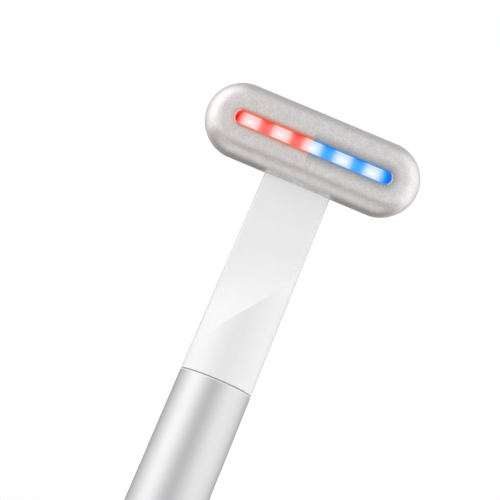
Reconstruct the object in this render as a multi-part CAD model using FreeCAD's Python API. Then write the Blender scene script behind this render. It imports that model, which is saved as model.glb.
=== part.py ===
import FreeCAD, Part
import math
import os

# A T-shaped light and warmth wand: a metal grip tube, a white neck whose two facets
# wind round it into a flat blade, and a pill-shaped head that swivels on the neck.
# Millimetres. The origin is the centre of the end cap's flat foot, +Z runs up the grip
# to the head, the lit face looks towards -Y and the head is long along X.

V = FreeCAD.Vector

# Grip tube and end cap
GRIP_D = 17.6            # outside diameter of the tube, the cap and the neck
GRIP_WALL = 0.9
GRIP_L = 93.0
GRIP_EDGE = 0.35         # chamfer round the tube's upper rim
CAP_BAND = 4.0           # visible height of the end cap
CAP_FLOOR = 2.4
CAP_SPIGOT_L = 6.0
CAP_SPIGOT_WALL = 1.15
CAP_EDGE = 0.6           # chamfer round the foot
SEAL_T = 0.9             # thickness of the cap's sealing ring

# Neck
SEAM_GASKET = 0.25       # thickness of the ring between tube and neck
NECK_L = 51.6
NECK_WALL = 1.6
NECK_SPIGOT_L = 9.25
NECK_SPIGOT_WALL = 0.95
BLADE_T = 6.2            # thickness of the flat upper blade
BLADE_EDGE = 0.3         # chamfer round the blade's top
TWIST_FOOT = 3.4         # height at which the facets start, above the neck's foot
TWIST_RISE = 28.8        # height over which they wind round
TWIST_EASE = 0.2         # how much the winding slows towards the blade
TWIST_STEPS = 9          # sections that guide the winding facet

# Head
HEAD_L = 57.1
HEAD_H = 19.1
HEAD_T = 12.0
HEAD_WALL = 1.2
HEAD_TILT = 14.0         # degrees, the lit face leans down towards the grip
HEAD_AHEAD = 0.6         # how far the head sits in front of the grip's axis
HEAD_GAP = 1.3           # from the neck's top to the head's underside
FACE_FILLET = 4.6
BACK_FILLET = 5.6
PART_LINE = 0.2          # joint between the two casings, behind the head's middle
RIM_L = 1.0              # locating rim of the rear casing
RIM_T = 0.6

# Light bar
SLOT_END = 7.9           # head beyond each end of the slot
SLOT_L = HEAD_L - 2 * SLOT_END
SLOT_H = 3.4
SLOT_EDGE = 0.15         # bevel round the slot
WINDOW_SUNK = 0.25
WINDOW_LIP = 1.2
WINDOW_LIP_T = 0.8
HEATER_T = 0.25
HEATER_W = 1.5           # width of the heater's ring
SENSOR = (2.0, 0.7, 1.0)
LED_COUNT = 5
LED_END = 4.35           # from the slot's end to the outermost lamp
LED_PITCH = (SLOT_L - 2 * LED_END) / (LED_COUNT - 1)
LED = (3.0, 1.2, 2.8)
LED_AIR = 0.3            # air between the lamps and the window
LED_BOARD_T = 0.8
LED_BOARD_H = 7.0
LED_BOARD_END = 1.5      # board beyond its screw
BOSS_R = 1.4

# Swivel
SHAFT_D = 3.4
SHAFT_BORE_D = 2.2
SHAFT_TAIL = 0.5         # shaft below its clip
BUSH_D = 5.0
BUSH_L = 8.0
BUSH_SUNK = 0.1
STOP_H = 1.4             # height of the bush's stop below its barrel
STOP_HALF = 79.0         # half of the stop's angle, degrees
TAB_HALF = 9.5           # half of the stop tab's angle, degrees
STOP_RING_T = 0.6
CLIP_T = 0.5
CLIP_GROOVE = 0.4        # depth of the clip's groove
FRICTION_T = 0.8
COLLAR_T = 0.6           # wall of the collar between neck and head
BLOCK_W = 8.4            # swivel block, between its lugs
BLOCK_LUG = 3.8
BLOCK_LUG_T = 1.6
BLOCK_BACK = 2.0         # how far it reaches behind the head's middle
BLOCK_FRONT = 3.9        # and in front of it
BLOCK_H = 3.7

# Battery, boards and motor
CELL_L = 50.0
TAB_T = 0.3
TAB_SIZE = (6.0, 8.0)
CELL_BUTTON = 1.0        # height of the cell's upper contact
CELL_EDGE = 0.5
CELL_AIR = 0.15          # between the cell and its tray
CARRIER_T = 0.65
FOOT_BULKHEAD = 3.0
BULKHEAD = 1.2
BOARD_T = 0.8
CHARGER = (3.0, 0.9, 3.0)
LAMP_DRIVER = (4.0, 0.9, 5.0)
MOTOR_DRIVER = (3.0, 0.9, 3.0)
CHIP_IN = 2.9            # the chips' middles, in from the bore
CHIP_UP = (4.0, 6.0, 10.0)
MOTOR_D = 6.0
MOTOR_L = 11.0
MOTOR_IN = 1.0           # the can's side, in from the bore
MOTOR_EDGE = 0.5
MOTOR_SHAFT_D = 0.8
WEIGHT_R = 2.6
WEIGHT_L = 4.0
WEIGHT_GAP = 0.8         # between the motor's can and its weight
WEIGHT_HALF = 85.0       # half of the weight's angle, degrees
SHAFT_IN_CAN = 2.9
SHAFT_END = 0.5          # shaft beyond the weight
SADDLE_T = 1.0
LEAD_D = 1.6
PLUG = (6.0, 3.0, 3.0)
PLUG_BELOW = 3.0         # plug below the board's upper end
HEAD_PLUG = (6.0, 2.2, 3.0)

# Button and indicator
BUTTON_Z = 76.0
BUTTON_D = 5.9
BUTTON_PROUD = 0.25
BUTTON_FLANGE = 0.6
BUTTON_TRAVEL = 0.35
BEZEL_T = 0.8
BEZEL_FLANGE = 0.75
BEZEL_FLANGE_T = 0.45
BEZEL_PROUD = 0.1
SWITCH = (4.5, 1.5, 4.5)
PLUNGER_D = 1.8
PLUNGER_PROUD = 0.65
PLUNGER_SUNK = 0.8
BUTTON_FOOT = 0.35       # height of the button's foot on the plunger
BUTTON_DISH_R = 14.0
PIPE_ABOVE = 7.0         # indicator above the button
PIPE_D = 1.5
PIPE_COLLAR = 0.5
PIPE_COLLAR_T = 1.0
INDICATOR = (1.6, 0.8, 0.8)

# Charging socket
USB_W = 8.94
USB_H = 3.16
USB_L = 7.35
USB_SUNK = 0.4
USB_WALL = 0.3
USB_BACK = 1.0           # thickness of the socket's inner end
USB_TONGUE = (6.7, 0.7, 5.0)
USB_BOARD_IN = 2.1       # the board's sides, in from the bore

# Screws: head diameter, head height, shank diameter
CAP_SCREW = (2.6, 1.0, 1.5)
CARRIER_SCREW = (2.8, 1.0, 1.6)
CARRIER_SCREW_L = 7.0
SMALL_SCREW = (2.2, 0.7, 1.1)
CAP_SCREW_IN = 2.2       # the screws' axes, in from the bore
CARRIER_SCREW_IN = 2.5
PILLAR_R = 1.6

# Clearances
RUN = 0.03               # radial, a turning or sliding fit
FIT = 0.05               # between pieces that are assembled and stay put
AIR = 0.1                # between pieces that only pass each other

# Heights along the grip, from the foot up
GRIP_R = GRIP_D / 2
BLADE_ANGLE = math.degrees(math.acos(BLADE_T / GRIP_D))
BORE_R = GRIP_R - GRIP_WALL
CAP_SCREW_Y = BORE_R - CAP_SCREW_IN
CARRIER_SCREW_X = BORE_R - CARRIER_SCREW_IN
CELL_D = 2 * (BORE_R - AIR - CARRIER_T - CELL_AIR)
MOTOR_AHEAD = BORE_R - MOTOR_IN - MOTOR_D / 2
USB_BOARD_W = 2 * (BORE_R - USB_BOARD_IN)
GRIP_TOP = CAP_BAND + GRIP_L
NECK_FOOT = GRIP_TOP + SEAM_GASKET
NECK_TOP = NECK_FOOT + NECK_L
SPIGOT_END = NECK_FOOT - NECK_SPIGOT_L
CAP_TOP = CAP_BAND + CAP_SPIGOT_L
CARRIER_FOOT = CAP_TOP + AIR
CELL_FOOT = CARRIER_FOOT + FOOT_BULKHEAD + TAB_T + AIR
CELL_TOP = CELL_FOOT + CELL_L
MID_BULKHEAD = CELL_TOP + TAB_T + AIR
BOARD_FOOT = MID_BULKHEAD + BULKHEAD + AIR
CARRIER_TOP = SPIGOT_END
BOARD_TOP = CARRIER_TOP - BULKHEAD - CARRIER_SCREW[1] - AIR
BEZEL_FLANGE_R = BUTTON_D / 2 + BEZEL_T + BEZEL_FLANGE
BEZEL_SEAT = math.sqrt((BORE_R - AIR) ** 2 - BEZEL_FLANGE_R ** 2) - BEZEL_FLANGE_T
FLANGE_FOOT = BEZEL_SEAT - FIT - BUTTON_FLANGE
PLUNGER_TOP = FLANGE_FOOT - BUTTON_FOOT
SWITCH_TOP = PLUNGER_TOP - PLUNGER_PROUD
PLUNGER_FOOT = SWITCH_TOP - PLUNGER_SUNK
BOARD_BACK = SWITCH_TOP - SWITCH[1]
CARRIER_RIM = BOARD_BACK - BOARD_T
BOARD_W = 2 * math.sqrt((BORE_R - 2 * AIR) ** 2 - BOARD_BACK ** 2)
MOTOR_FOOT = BOARD_FOOT + AIR
MOTOR_TOP = MOTOR_FOOT + MOTOR_L
WEIGHT_FOOT = MOTOR_TOP + WEIGHT_GAP
PLUG_FOOT = BOARD_TOP - PLUG[2] - PLUG_BELOW
SHAFT_R = SHAFT_D / 2

# Depths inside the head, from its middle, front is negative
FACE_Y = -HEAD_T / 2
INNER_FACE = FACE_Y + HEAD_WALL
LIP_BACK = INNER_FACE + WINDOW_LIP_T
LED_FRONT = LIP_BACK + LED_AIR
LED_BOARD_FRONT = LED_FRONT + LED[1]
LED_BOARD_BACK = LED_BOARD_FRONT + LED_BOARD_T
LIP_L = SLOT_L + 2 * WINDOW_LIP
LIP_H = SLOT_H + 2 * WINDOW_LIP
HEATER_L = LIP_L + 2 * (AIR + HEATER_W)
HEATER_H = LIP_H + 2 * (AIR + HEATER_W)
BOARD_BOSS_X = HEATER_L / 2 + AIR + BOSS_R
BLOCK_BOSS_X = BLOCK_W / 2 + BLOCK_LUG / 2
BLOCK_BOSS_Z = -(HEATER_H / 2 + AIR + BOSS_R)
BLOCK_TOP = -(LED_BOARD_H / 2 + 4 * AIR)
LUG_FRONT = -1.0


def head_drop():
    """How far the leaning head reaches below its own centre."""
    lean = math.radians(HEAD_TILT)
    front = (HEAD_T / 2 - FACE_FILLET) * math.sin(lean)
    front += (HEAD_H / 2 - FACE_FILLET) * math.cos(lean) + FACE_FILLET
    back = -(HEAD_T / 2 - BACK_FILLET) * math.sin(lean)
    back += (HEAD_H / 2 - BACK_FILLET) * math.cos(lean) + BACK_FILLET
    return max(front, back)


HEAD_Z = NECK_TOP + HEAD_GAP + head_drop()
BARREL_FOOT = NECK_TOP - BUSH_SUNK - BUSH_L
STOP_RING_TOP = BARREL_FOOT - STOP_H - AIR
CLIP_FOOT = STOP_RING_TOP - STOP_RING_T - CLIP_T
SHAFT_FOOT = CLIP_FOOT - SHAFT_TAIL
FRICTION_FOOT = NECK_TOP - BUSH_SUNK - BUSH_L / 2 - FRICTION_T / 2


# ---------------------------------------------------------------- plain forms

def rod(radius, z0, z1, x=0.0, y=0.0):
    return Part.makeCylinder(radius, z1 - z0, V(x, y, z0))


def ring(outer, inner, z0, z1, x=0.0, y=0.0):
    return rod(outer, z0, z1, x, y).cut(rod(inner, z0 - 1, z1 + 1, x, y))


def rod_y(radius, y0, y1, x=0.0, z=0.0):
    return Part.makeCylinder(radius, y1 - y0, V(x, y0, z), V(0, 1, 0))


def block(x0, x1, y0, y1, z0, z1):
    return Part.makeBox(x1 - x0, y1 - y0, z1 - z0, V(x0, y0, z0))


def centred(size, x, y0, z):
    """A box of that width, depth and height, from y0 backwards."""
    width, depth, height = size
    return block(x - width / 2, x + width / 2, y0, y0 + depth, z - height / 2, z + height / 2)


def pill(length, height, y0, y1):
    """A stadium outline in the XZ plane, run from y0 to y1."""
    r = height / 2
    a = length / 2 - r
    edges = [
        Part.LineSegment(V(-a, y0, r), V(a, y0, r)).toShape(),
        Part.Arc(V(a, y0, r), V(a + r, y0, 0), V(a, y0, -r)).toShape(),
        Part.LineSegment(V(a, y0, -r), V(-a, y0, -r)).toShape(),
        Part.Arc(V(-a, y0, -r), V(-a - r, y0, 0), V(-a, y0, r)).toShape(),
    ]
    return Part.Face(Part.Wire(edges)).extrude(V(0, y1 - y0, 0))


def edges_at_y(solid, y):
    found = []
    for edge in solid.Edges:
        if abs(edge.BoundBox.YMin - y) < 1e-5 and abs(edge.BoundBox.YMax - y) < 1e-5:
            found.append(edge)
    return found


def edges_at_z(solid, z):
    found = []
    for edge in solid.Edges:
        if abs(edge.BoundBox.ZMin - z) < 1e-5 and abs(edge.BoundBox.ZMax - z) < 1e-5:
            found.append(edge)
    return found


def sector(outer, inner, z0, z1, middle, half):
    """A piece of a ring: middle is its direction from -Y towards +X, in degrees."""
    first = math.radians(middle - half)
    start = V(math.sin(first), -math.cos(first), 0)
    low, high = V(0, 0, z0), V(0, 0, z1)
    near, far = start * inner, start * outer
    wire = Part.makePolygon([near + low, far + low, far + high, near + high, near + low])
    return Part.Face(wire).revolve(V(0, 0, 0), V(0, 0, 1), 2 * half)


def screw(kind, length):
    """A pan-head screw with a hexagonal socket, its head's seat at z = 0, shank upwards."""
    head_d, head_h, shank_d = kind
    body = rod(head_d / 2, -head_h, 0).fuse(rod(shank_d / 2, 0, length)).removeSplitter()
    body = body.makeChamfer(head_h * 0.3, edges_at_z(body, -head_h))
    corners = []
    for i in range(7):
        turn = math.radians(60 * i)
        corners.append(V(head_d * 0.22 * math.cos(turn), head_d * 0.22 * math.sin(turn), -head_h))
    socket = Part.Face(Part.makePolygon(corners)).extrude(V(0, 0, head_h * 0.55))
    return body.cut(socket)


def moved(shape, x, y, z):
    copy = shape.copy()
    copy.translate(V(x, y, z))
    return copy


def in_head(shape):
    """From the head's own upright frame to its leaning place on the wand."""
    copy = shape.copy()
    copy.rotate(V(0, 0, 0), V(1, 0, 0), HEAD_TILT)
    copy.translate(V(0, -HEAD_AHEAD, HEAD_Z))
    return copy


# ---------------------------------------------------------------- neck

def facet_half(t):
    """Half the angle that the facet spans, in degrees, at a share t of its rise."""
    turn = t + TWIST_EASE * t * t * (1 - t)
    return BLADE_ANGLE * turn


def facet_cutters():
    """What lies outside the facet that winds round the neck's column.

    One edge of the facet stays on a fixed line down the column and the other winds
    round to the mirrored line, so the facet is a chord that grows and turns with height.
    """
    wires = []
    for i in range(TWIST_STEPS + 1):
        t = i / TWIST_STEPS
        half = facet_half(t)
        facing = math.radians(half - BLADE_ANGLE)
        reach = GRIP_R * math.cos(math.radians(half))
        if i == 0:
            reach += AIR
        out = V(math.sin(facing), -math.cos(facing), 0)
        wide = V(math.cos(facing), math.sin(facing), 0) * GRIP_D
        near = out * reach + V(0, 0, NECK_FOOT + TWIST_FOOT + TWIST_RISE * t)
        far = near + out * GRIP_D
        wires.append(Part.makePolygon([near - wide, near + wide, far + wide, far - wide, near - wide]))
    winding = Part.makeLoft(wires, True, False)
    straight = Part.Face(wires[-1]).extrude(V(0, 0, NECK_L - TWIST_FOOT - TWIST_RISE + 1))
    return [winding, straight]


def faceted_column():
    column = rod(GRIP_R, NECK_FOOT, NECK_TOP)
    for cutter in facet_cutters():
        column = column.cut(cutter)
        back = cutter.copy()
        back.rotate(V(0, 0, 0), V(0, 0, 1), 180)
        column = column.cut(back)
    return column


def neck_core():
    """The round tapering hollow that leaves the neck's wall behind the facets."""
    spigot_bore = BORE_R - FIT - NECK_SPIGOT_WALL
    points = [V(0, 0, SPIGOT_END - 1), V(spigot_bore, 0, SPIGOT_END - 1)]
    points.append(V(spigot_bore, 0, NECK_FOOT + TWIST_FOOT))
    for t in (0.3, 0.5, 0.7, 0.85):
        depth = GRIP_R * math.cos(math.radians(facet_half(t))) - NECK_WALL
        points.append(V(min(depth, spigot_bore), 0, NECK_FOOT + TWIST_FOOT + TWIST_RISE * t))
    points.append(V(0, 0, points[-1].z))
    points.append(points[0])
    return Part.Face(Part.makePolygon(points)).revolve(V(0, 0, 0), V(0, 0, 1), 360)


def neck_shell():
    skin = faceted_column()
    skin = skin.makeChamfer(BLADE_EDGE, edges_at_z(skin, NECK_TOP))
    spigot_r = BORE_R - FIT
    shell = skin.fuse(rod(spigot_r, SPIGOT_END, NECK_FOOT))
    shell = shell.cut(neck_core())
    for x in (-CARRIER_SCREW_X, CARRIER_SCREW_X):
        pillar = rod(PILLAR_R, SPIGOT_END, NECK_FOOT + TWIST_FOOT, x)
        shell = shell.fuse(pillar.common(rod(spigot_r, SPIGOT_END, NECK_TOP)))
    for x in (-CARRIER_SCREW_X, CARRIER_SCREW_X):
        shell = shell.cut(rod(CARRIER_SCREW[2] / 2 + FIT, SPIGOT_END - 1, NECK_FOOT, x))
    shell = shell.cut(rod(BUSH_D / 2, NECK_FOOT + TWIST_FOOT, NECK_TOP + 1))
    return shell.removeSplitter()


def seam_gasket():
    return ring(GRIP_R - GRIP_EDGE, BORE_R, GRIP_TOP, NECK_FOOT)


# ---------------------------------------------------------------- swivel

def swivel_bush():
    inner = SHAFT_R + RUN
    barrel = ring(BUSH_D / 2, inner, BARREL_FOOT, BARREL_FOOT + BUSH_L)
    outer = BUSH_D / 2 - FIT
    stop = sector(outer, inner + AIR, BARREL_FOOT - STOP_H, BARREL_FOOT + AIR, 180, STOP_HALF)
    return barrel.fuse(stop).removeSplitter()


def swivel_shaft():
    shaft = rod(SHAFT_R, SHAFT_FOOT, HEAD_Z + BLOCK_TOP - 4 * AIR)
    for foot, height in ((CLIP_FOOT, CLIP_T), (FRICTION_FOOT, FRICTION_T)):
        shaft = shaft.cut(ring(SHAFT_D, SHAFT_R - CLIP_GROOVE, foot, foot + height))
    return shaft.cut(rod(SHAFT_BORE_D / 2, SHAFT_FOOT - 1, HEAD_Z))


def friction_ring():
    top = FRICTION_FOOT + FRICTION_T
    return ring(SHAFT_R + RUN / 2, SHAFT_R - CLIP_GROOVE, FRICTION_FOOT, top)


def stop_ring():
    outer = BUSH_D / 2 - AIR
    collar = ring(outer, SHAFT_R, STOP_RING_TOP - STOP_RING_T, STOP_RING_TOP)
    foot = STOP_RING_TOP - AIR
    tab = sector(outer, SHAFT_R + AIR + RUN, foot, BARREL_FOOT - 2 * AIR, 0, TAB_HALF)
    return collar.fuse(tab).removeSplitter()


def retaining_clip():
    top = CLIP_FOOT + CLIP_T
    clip = ring(BUSH_D / 2 - 2 * AIR, SHAFT_R - CLIP_GROOVE, CLIP_FOOT, top)
    half = SHAFT_R * 0.6
    return clip.cut(block(-half, half, -BUSH_D, 0, CLIP_FOOT - 1, top + 1))


def thrust_washer():
    """The collar between neck and head: its top follows the head's underside."""
    inner = SHAFT_R + FIT
    collar = ring(inner + COLLAR_T, inner, NECK_TOP + FIT, HEAD_Z)
    return collar.cut(moved(in_head(head_form()), 0, 0, -FIT))


def swivel_block():
    foot = BLOCK_TOP - BLOCK_H
    half = BLOCK_W / 2
    body = block(-half, half, -BLOCK_FRONT, BLOCK_BACK, foot, BLOCK_TOP)
    lug_top = BLOCK_BOSS_Z + BOSS_R
    reach = half + BLOCK_LUG
    lugs = block(-reach, reach, LUG_FRONT, LUG_FRONT + BLOCK_LUG_T, foot, lug_top)
    body = body.fuse(lugs).removeSplitter()
    body = body.common(head_cavity(HEAD_WALL + RIM_T + FIT))
    for x in (-BLOCK_BOSS_X, BLOCK_BOSS_X):
        body = body.cut(rod_y(SMALL_SCREW[2] / 2 + FIT, -HEAD_T, HEAD_T, x, BLOCK_BOSS_Z))
    return in_head(body).cut(rod(SHAFT_R, NECK_TOP, HEAD_Z + HEAD_H))


def block_screws():
    seat = LUG_FRONT + BLOCK_LUG_T
    pieces = []
    for x in (-BLOCK_BOSS_X, BLOCK_BOSS_X):
        pieces.append(in_head(screw_forward(x, seat, BLOCK_BOSS_Z, seat - INNER_FACE)))
    return Part.makeCompound(pieces)


def screw_forward(x, seat, z, length):
    """A small screw driven towards -Y from its seat."""
    piece = screw(SMALL_SCREW, length)
    piece.rotate(V(0, 0, 0), V(1, 0, 0), 90)
    return moved(piece, x, seat, z)


# ---------------------------------------------------------------- head

def head_form():
    """The head's pill with its two rounded rims."""
    form = pill(HEAD_L, HEAD_H, FACE_Y, HEAD_T / 2)
    form = form.makeFillet(FACE_FILLET, edges_at_y(form, FACE_Y))
    return form.makeFillet(BACK_FILLET, edges_at_y(form, HEAD_T / 2))


def head_cavity(inset):
    """The hollow inside the casings: chamfers keep the wall's thickness behind the fillets."""
    front = FACE_Y + inset
    back = HEAD_T / 2 - inset
    form = pill(HEAD_L - 2 * inset, HEAD_H - 2 * inset, front, back)
    form = form.makeChamfer(corner_cut(FACE_FILLET, inset), edges_at_y(form, front))
    return form.makeChamfer(corner_cut(BACK_FILLET, inset), edges_at_y(form, back))


def corner_cut(fillet, inset):
    """Leg of the chamfer that stays an inset behind a fillet's middle."""
    return fillet * (2 - math.sqrt(2)) - inset * (2 - math.sqrt(2))


def shaft_way():
    return rod(SHAFT_R + FIT, NECK_TOP, HEAD_Z)


def head_face():
    casing = head_form().cut(head_cavity(HEAD_WALL))
    casing = casing.common(block(-HEAD_L, HEAD_L, -HEAD_T, PART_LINE, -HEAD_H, HEAD_H))
    slot = pill(SLOT_L, SLOT_H, -HEAD_T, 0)
    casing = casing.cut(slot)
    casing = casing.makeChamfer(SLOT_EDGE, edges_at_y_inside(casing, FACE_Y, SLOT_L, SLOT_H))
    base = INNER_FACE - AIR
    bosses = []
    for side in (-1, 1):
        bosses.append((side * BOARD_BOSS_X, 0.0, LED_BOARD_FRONT))
        bosses.append((side * BLOCK_BOSS_X, BLOCK_BOSS_Z, LUG_FRONT))
    for x, z, top in bosses:
        casing = casing.fuse(rod_y(BOSS_R, base, top, x, z))
    for x, z, top in bosses:
        casing = casing.cut(rod_y(SMALL_SCREW[2] / 2 + FIT, INNER_FACE, top + 1, x, z))
    return in_head(casing.removeSplitter()).cut(shaft_way())


def edges_at_y_inside(solid, y, length, height):
    """Edges in the plane y that lie within a box of that length and height."""
    found = []
    for edge in edges_at_y(solid, y):
        box = edge.BoundBox
        if max(abs(box.XMin), abs(box.XMax)) < length / 2 + 0.01 and box.ZMax < height / 2 + 0.01:
            if box.ZMin > -height / 2 - 0.01:
                found.append(edge)
    return found


def head_back():
    casing = head_form().cut(head_cavity(HEAD_WALL))
    casing = casing.common(block(-HEAD_L, HEAD_L, PART_LINE, HEAD_T, -HEAD_H, HEAD_H))
    rim = head_cavity(HEAD_WALL + FIT).cut(head_cavity(HEAD_WALL + RIM_T))
    rim = rim.common(block(-HEAD_L, HEAD_L, PART_LINE - RIM_L, PART_LINE, -HEAD_H, HEAD_H))
    root = head_cavity(HEAD_WALL - FIT).cut(head_cavity(HEAD_WALL + RIM_T))
    root = root.common(block(-HEAD_L, HEAD_L, PART_LINE, PART_LINE + RIM_T, -HEAD_H, HEAD_H))
    casing = casing.fuse(root).fuse(rim).removeSplitter()
    return in_head(casing).cut(shaft_way())


def light_window():
    nose = pill(SLOT_L - 2 * FIT, SLOT_H - 2 * FIT, FACE_Y + WINDOW_SUNK, INNER_FACE)
    lip = pill(LIP_L, LIP_H, INNER_FACE, LIP_BACK)
    return in_head(nose.fuse(lip).removeSplitter())


def heater_film():
    film = pill(HEATER_L, HEATER_H, INNER_FACE, INNER_FACE + HEATER_T)
    return in_head(film.cut(pill(LIP_L + 2 * AIR, LIP_H + 2 * AIR, INNER_FACE - 1, 0)))


def temperature_sensor():
    z = LIP_H / 2 + AIR + HEATER_W / 2
    return in_head(centred(SENSOR, SLOT_L / 4, INNER_FACE + HEATER_T, z))


def led_board():
    board = pill(2 * (BOARD_BOSS_X + LED_BOARD_END), LED_BOARD_H, LED_BOARD_FRONT, LED_BOARD_BACK)
    for x in (-BOARD_BOSS_X, BOARD_BOSS_X):
        board = board.cut(rod_y(SMALL_SCREW[2] / 2 + FIT, -HEAD_T, HEAD_T, x))
    return in_head(board)


def led_board_screws():
    pieces = []
    for x in (-BOARD_BOSS_X, BOARD_BOSS_X):
        length = LED_BOARD_BACK - INNER_FACE - HEATER_T
        pieces.append(in_head(screw_forward(x, LED_BOARD_BACK, 0.0, length)))
    return Part.makeCompound(pieces)


def leds(first, last):
    """The lamps from one place in the row to another, each a case with a domed lens."""
    pieces = []
    width, depth, height = LED
    lens_r = height * 0.42
    for i in range(first, last + 1):
        x = (i - (LED_COUNT - 1) / 2) * LED_PITCH
        case = centred((width, depth * 0.8, height), x, LED_BOARD_FRONT - depth * 0.8, 0.0)
        front = V(x, LED_BOARD_FRONT - depth * 0.8, 0)
        dome = Part.makeCone(lens_r, lens_r * 0.8, depth * 0.2, front, V(0, -1, 0))
        pieces.append(in_head(case.fuse(dome)))
    if len(pieces) == 1:
        return pieces[0]
    return Part.makeCompound(pieces)


def head_plug():
    middle = BLOCK_TOP + 6 * AIR + HEAD_PLUG[2] / 2
    return in_head(centred(HEAD_PLUG, 0.0, LED_BOARD_BACK, middle))


# ---------------------------------------------------------------- grip

def on_grip(radius, proud, y0, z):
    """A round plug along Y, topped by the grip's own curve."""
    plug = rod_y(radius, y0, GRIP_D, 0.0, z)
    return plug.common(rod(GRIP_R + proud, z - GRIP_D, z + GRIP_D))


def grip_tube():
    tube = rod(GRIP_R, CAP_BAND, GRIP_TOP)
    tube = tube.makeChamfer(GRIP_EDGE, edges_at_z(tube, GRIP_TOP))
    tube = tube.cut(rod(BORE_R, 0, GRIP_TOP + 1))
    tube = tube.cut(rod_y(BUTTON_D / 2 + BEZEL_T + 2 * FIT, 0, GRIP_D, 0.0, BUTTON_Z))
    return tube.cut(rod_y(PIPE_D / 2 + FIT, 0, GRIP_D, 0.0, BUTTON_Z + PIPE_ABOVE))


def end_cap():
    spigot_r = BORE_R - FIT
    cap = rod(GRIP_R, 0, CAP_BAND)
    cap = cap.makeChamfer(CAP_EDGE, edges_at_z(cap, 0))
    cap = cap.fuse(rod(spigot_r, CAP_BAND, CAP_TOP))
    cap = cap.cut(rod(spigot_r - CAP_SPIGOT_WALL, CAP_FLOOR, CAP_TOP + 1))
    for y in (-CAP_SCREW_Y, CAP_SCREW_Y):
        cap = cap.fuse(rod(PILLAR_R, CAP_FLOOR, CAP_TOP, 0.0, y))
    head_d, head_h, shank_d = CAP_SCREW
    for y in (-CAP_SCREW_Y, CAP_SCREW_Y):
        cap = cap.cut(rod(shank_d / 2 + FIT, -1, CAP_TOP + 1, 0.0, y))
        cap = cap.cut(rod(head_d / 2 + AIR, -1, head_h + 2 * AIR, 0.0, y))
    half = SEAL_T / 2
    cap = cap.cut(ring(GRIP_R, seal_r() - half, seal_z() - half - FIT, seal_z() + half + FIT))
    return cap.cut(flat_pill(USB_W + 2 * FIT, USB_H + 2 * FIT, -1, CAP_FLOOR + 1)).removeSplitter()


def seal_z():
    return CAP_BAND + CAP_SPIGOT_L / 2


def seal_r():
    return BORE_R - SEAL_T / 2 - RUN


def end_cap_seal():
    """A ring of square section that fills its groove."""
    half = SEAL_T / 2
    return ring(seal_r() + half, seal_r() - half, seal_z() - half, seal_z() + half)


def flat_pill(length, height, z0, z1):
    """A stadium outline in the XY plane, long along X."""
    shape = pill(length, height, 0, z1 - z0)
    shape.rotate(V(0, 0, 0), V(1, 0, 0), 90)
    return moved(shape, 0, 0, z0)


def end_cap_screws():
    pieces = []
    seat = CAP_SCREW[1] + 2 * AIR
    length = CARRIER_FOOT + FOOT_BULKHEAD - AIR - seat
    for y in (-CAP_SCREW_Y, CAP_SCREW_Y):
        pieces.append(moved(screw(CAP_SCREW, length), 0, y, seat))
    return Part.makeCompound(pieces)


def usb_socket():
    top = USB_SUNK + USB_L
    root = top - USB_BACK
    shell = flat_pill(USB_W, USB_H, USB_SUNK, top)
    hollow = flat_pill(USB_W - 2 * USB_WALL, USB_H - 2 * USB_WALL, USB_SUNK - 1, root)
    width, depth, length = USB_TONGUE
    tongue = block(-width / 2, width / 2, -depth / 2, depth / 2, root - length, top)
    return shell.cut(hollow).fuse(tongue).removeSplitter()


def usb_board():
    half = USB_BOARD_W / 2
    return block(-half, half, USB_H / 2, USB_H / 2 + BOARD_T, CAP_FLOOR, CAP_TOP - AIR)


def inner_carrier():
    outer = BORE_R - AIR
    disc_end = CARRIER_FOOT + FOOT_BULKHEAD
    tray = ring(outer, outer - CARRIER_T, CARRIER_FOOT, CARRIER_TOP)
    tray = tray.common(block(-GRIP_D, GRIP_D, -GRIP_D, CARRIER_RIM, 0, GRIP_TOP))
    carrier = tray.fuse(rod(outer, CARRIER_FOOT, disc_end))
    carrier = carrier.fuse(rod(outer, MID_BULKHEAD, MID_BULKHEAD + BULKHEAD))
    carrier = carrier.fuse(rod(outer, CARRIER_TOP - BULKHEAD, CARRIER_TOP))
    for z in (MOTOR_FOOT + SADDLE_T, MOTOR_TOP - 2 * SADDLE_T):
        saddle = rod(outer, z, z + SADDLE_T)
        saddle = saddle.common(block(-GRIP_D, GRIP_D, -GRIP_D, -MOTOR_AHEAD, 0, GRIP_TOP))
        carrier = carrier.fuse(saddle)
    carrier = carrier.cut(rod(MOTOR_D / 2 + RUN, MOTOR_FOOT - AIR, MOTOR_TOP, 0, -MOTOR_AHEAD))
    for y in (-CAP_SCREW_Y, CAP_SCREW_Y):
        carrier = carrier.cut(rod(CAP_SCREW[2] / 2 + FIT, CARRIER_FOOT - 1, disc_end - FIT, 0, y))
    for x in (-CARRIER_SCREW_X, CARRIER_SCREW_X):
        hole = rod(CARRIER_SCREW[2] / 2 + FIT, CARRIER_TOP - BULKHEAD - 1, CARRIER_TOP + 1, x)
        carrier = carrier.cut(hole)
    wire_way = rod(LEAD_D / 2 + 3 * AIR, CARRIER_TOP - BULKHEAD - 1, CARRIER_TOP + 1)
    return carrier.cut(wire_way).removeSplitter()


def carrier_screws():
    pieces = []
    for x in (-CARRIER_SCREW_X, CARRIER_SCREW_X):
        pieces.append(moved(screw(CARRIER_SCREW, CARRIER_SCREW_L), x, 0, CARRIER_TOP - BULKHEAD))
    return Part.makeCompound(pieces)


def battery_cell():
    shoulder = CELL_TOP - CELL_BUTTON
    cell = rod(CELL_D / 2, CELL_FOOT, shoulder)
    cell = cell.makeChamfer(CELL_EDGE, edges_at_z(cell, shoulder))
    return cell.fuse(rod(CELL_D / 5, shoulder, CELL_TOP)).removeSplitter()


def battery_tabs():
    x, y = TAB_SIZE[0] / 2, TAB_SIZE[1] / 2
    foot = block(-x, x, -y, y, CELL_FOOT - TAB_T, CELL_FOOT)
    top = block(-x, x, -y, y, CELL_TOP, CELL_TOP + TAB_T)
    return Part.makeCompound([foot, top])


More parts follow.
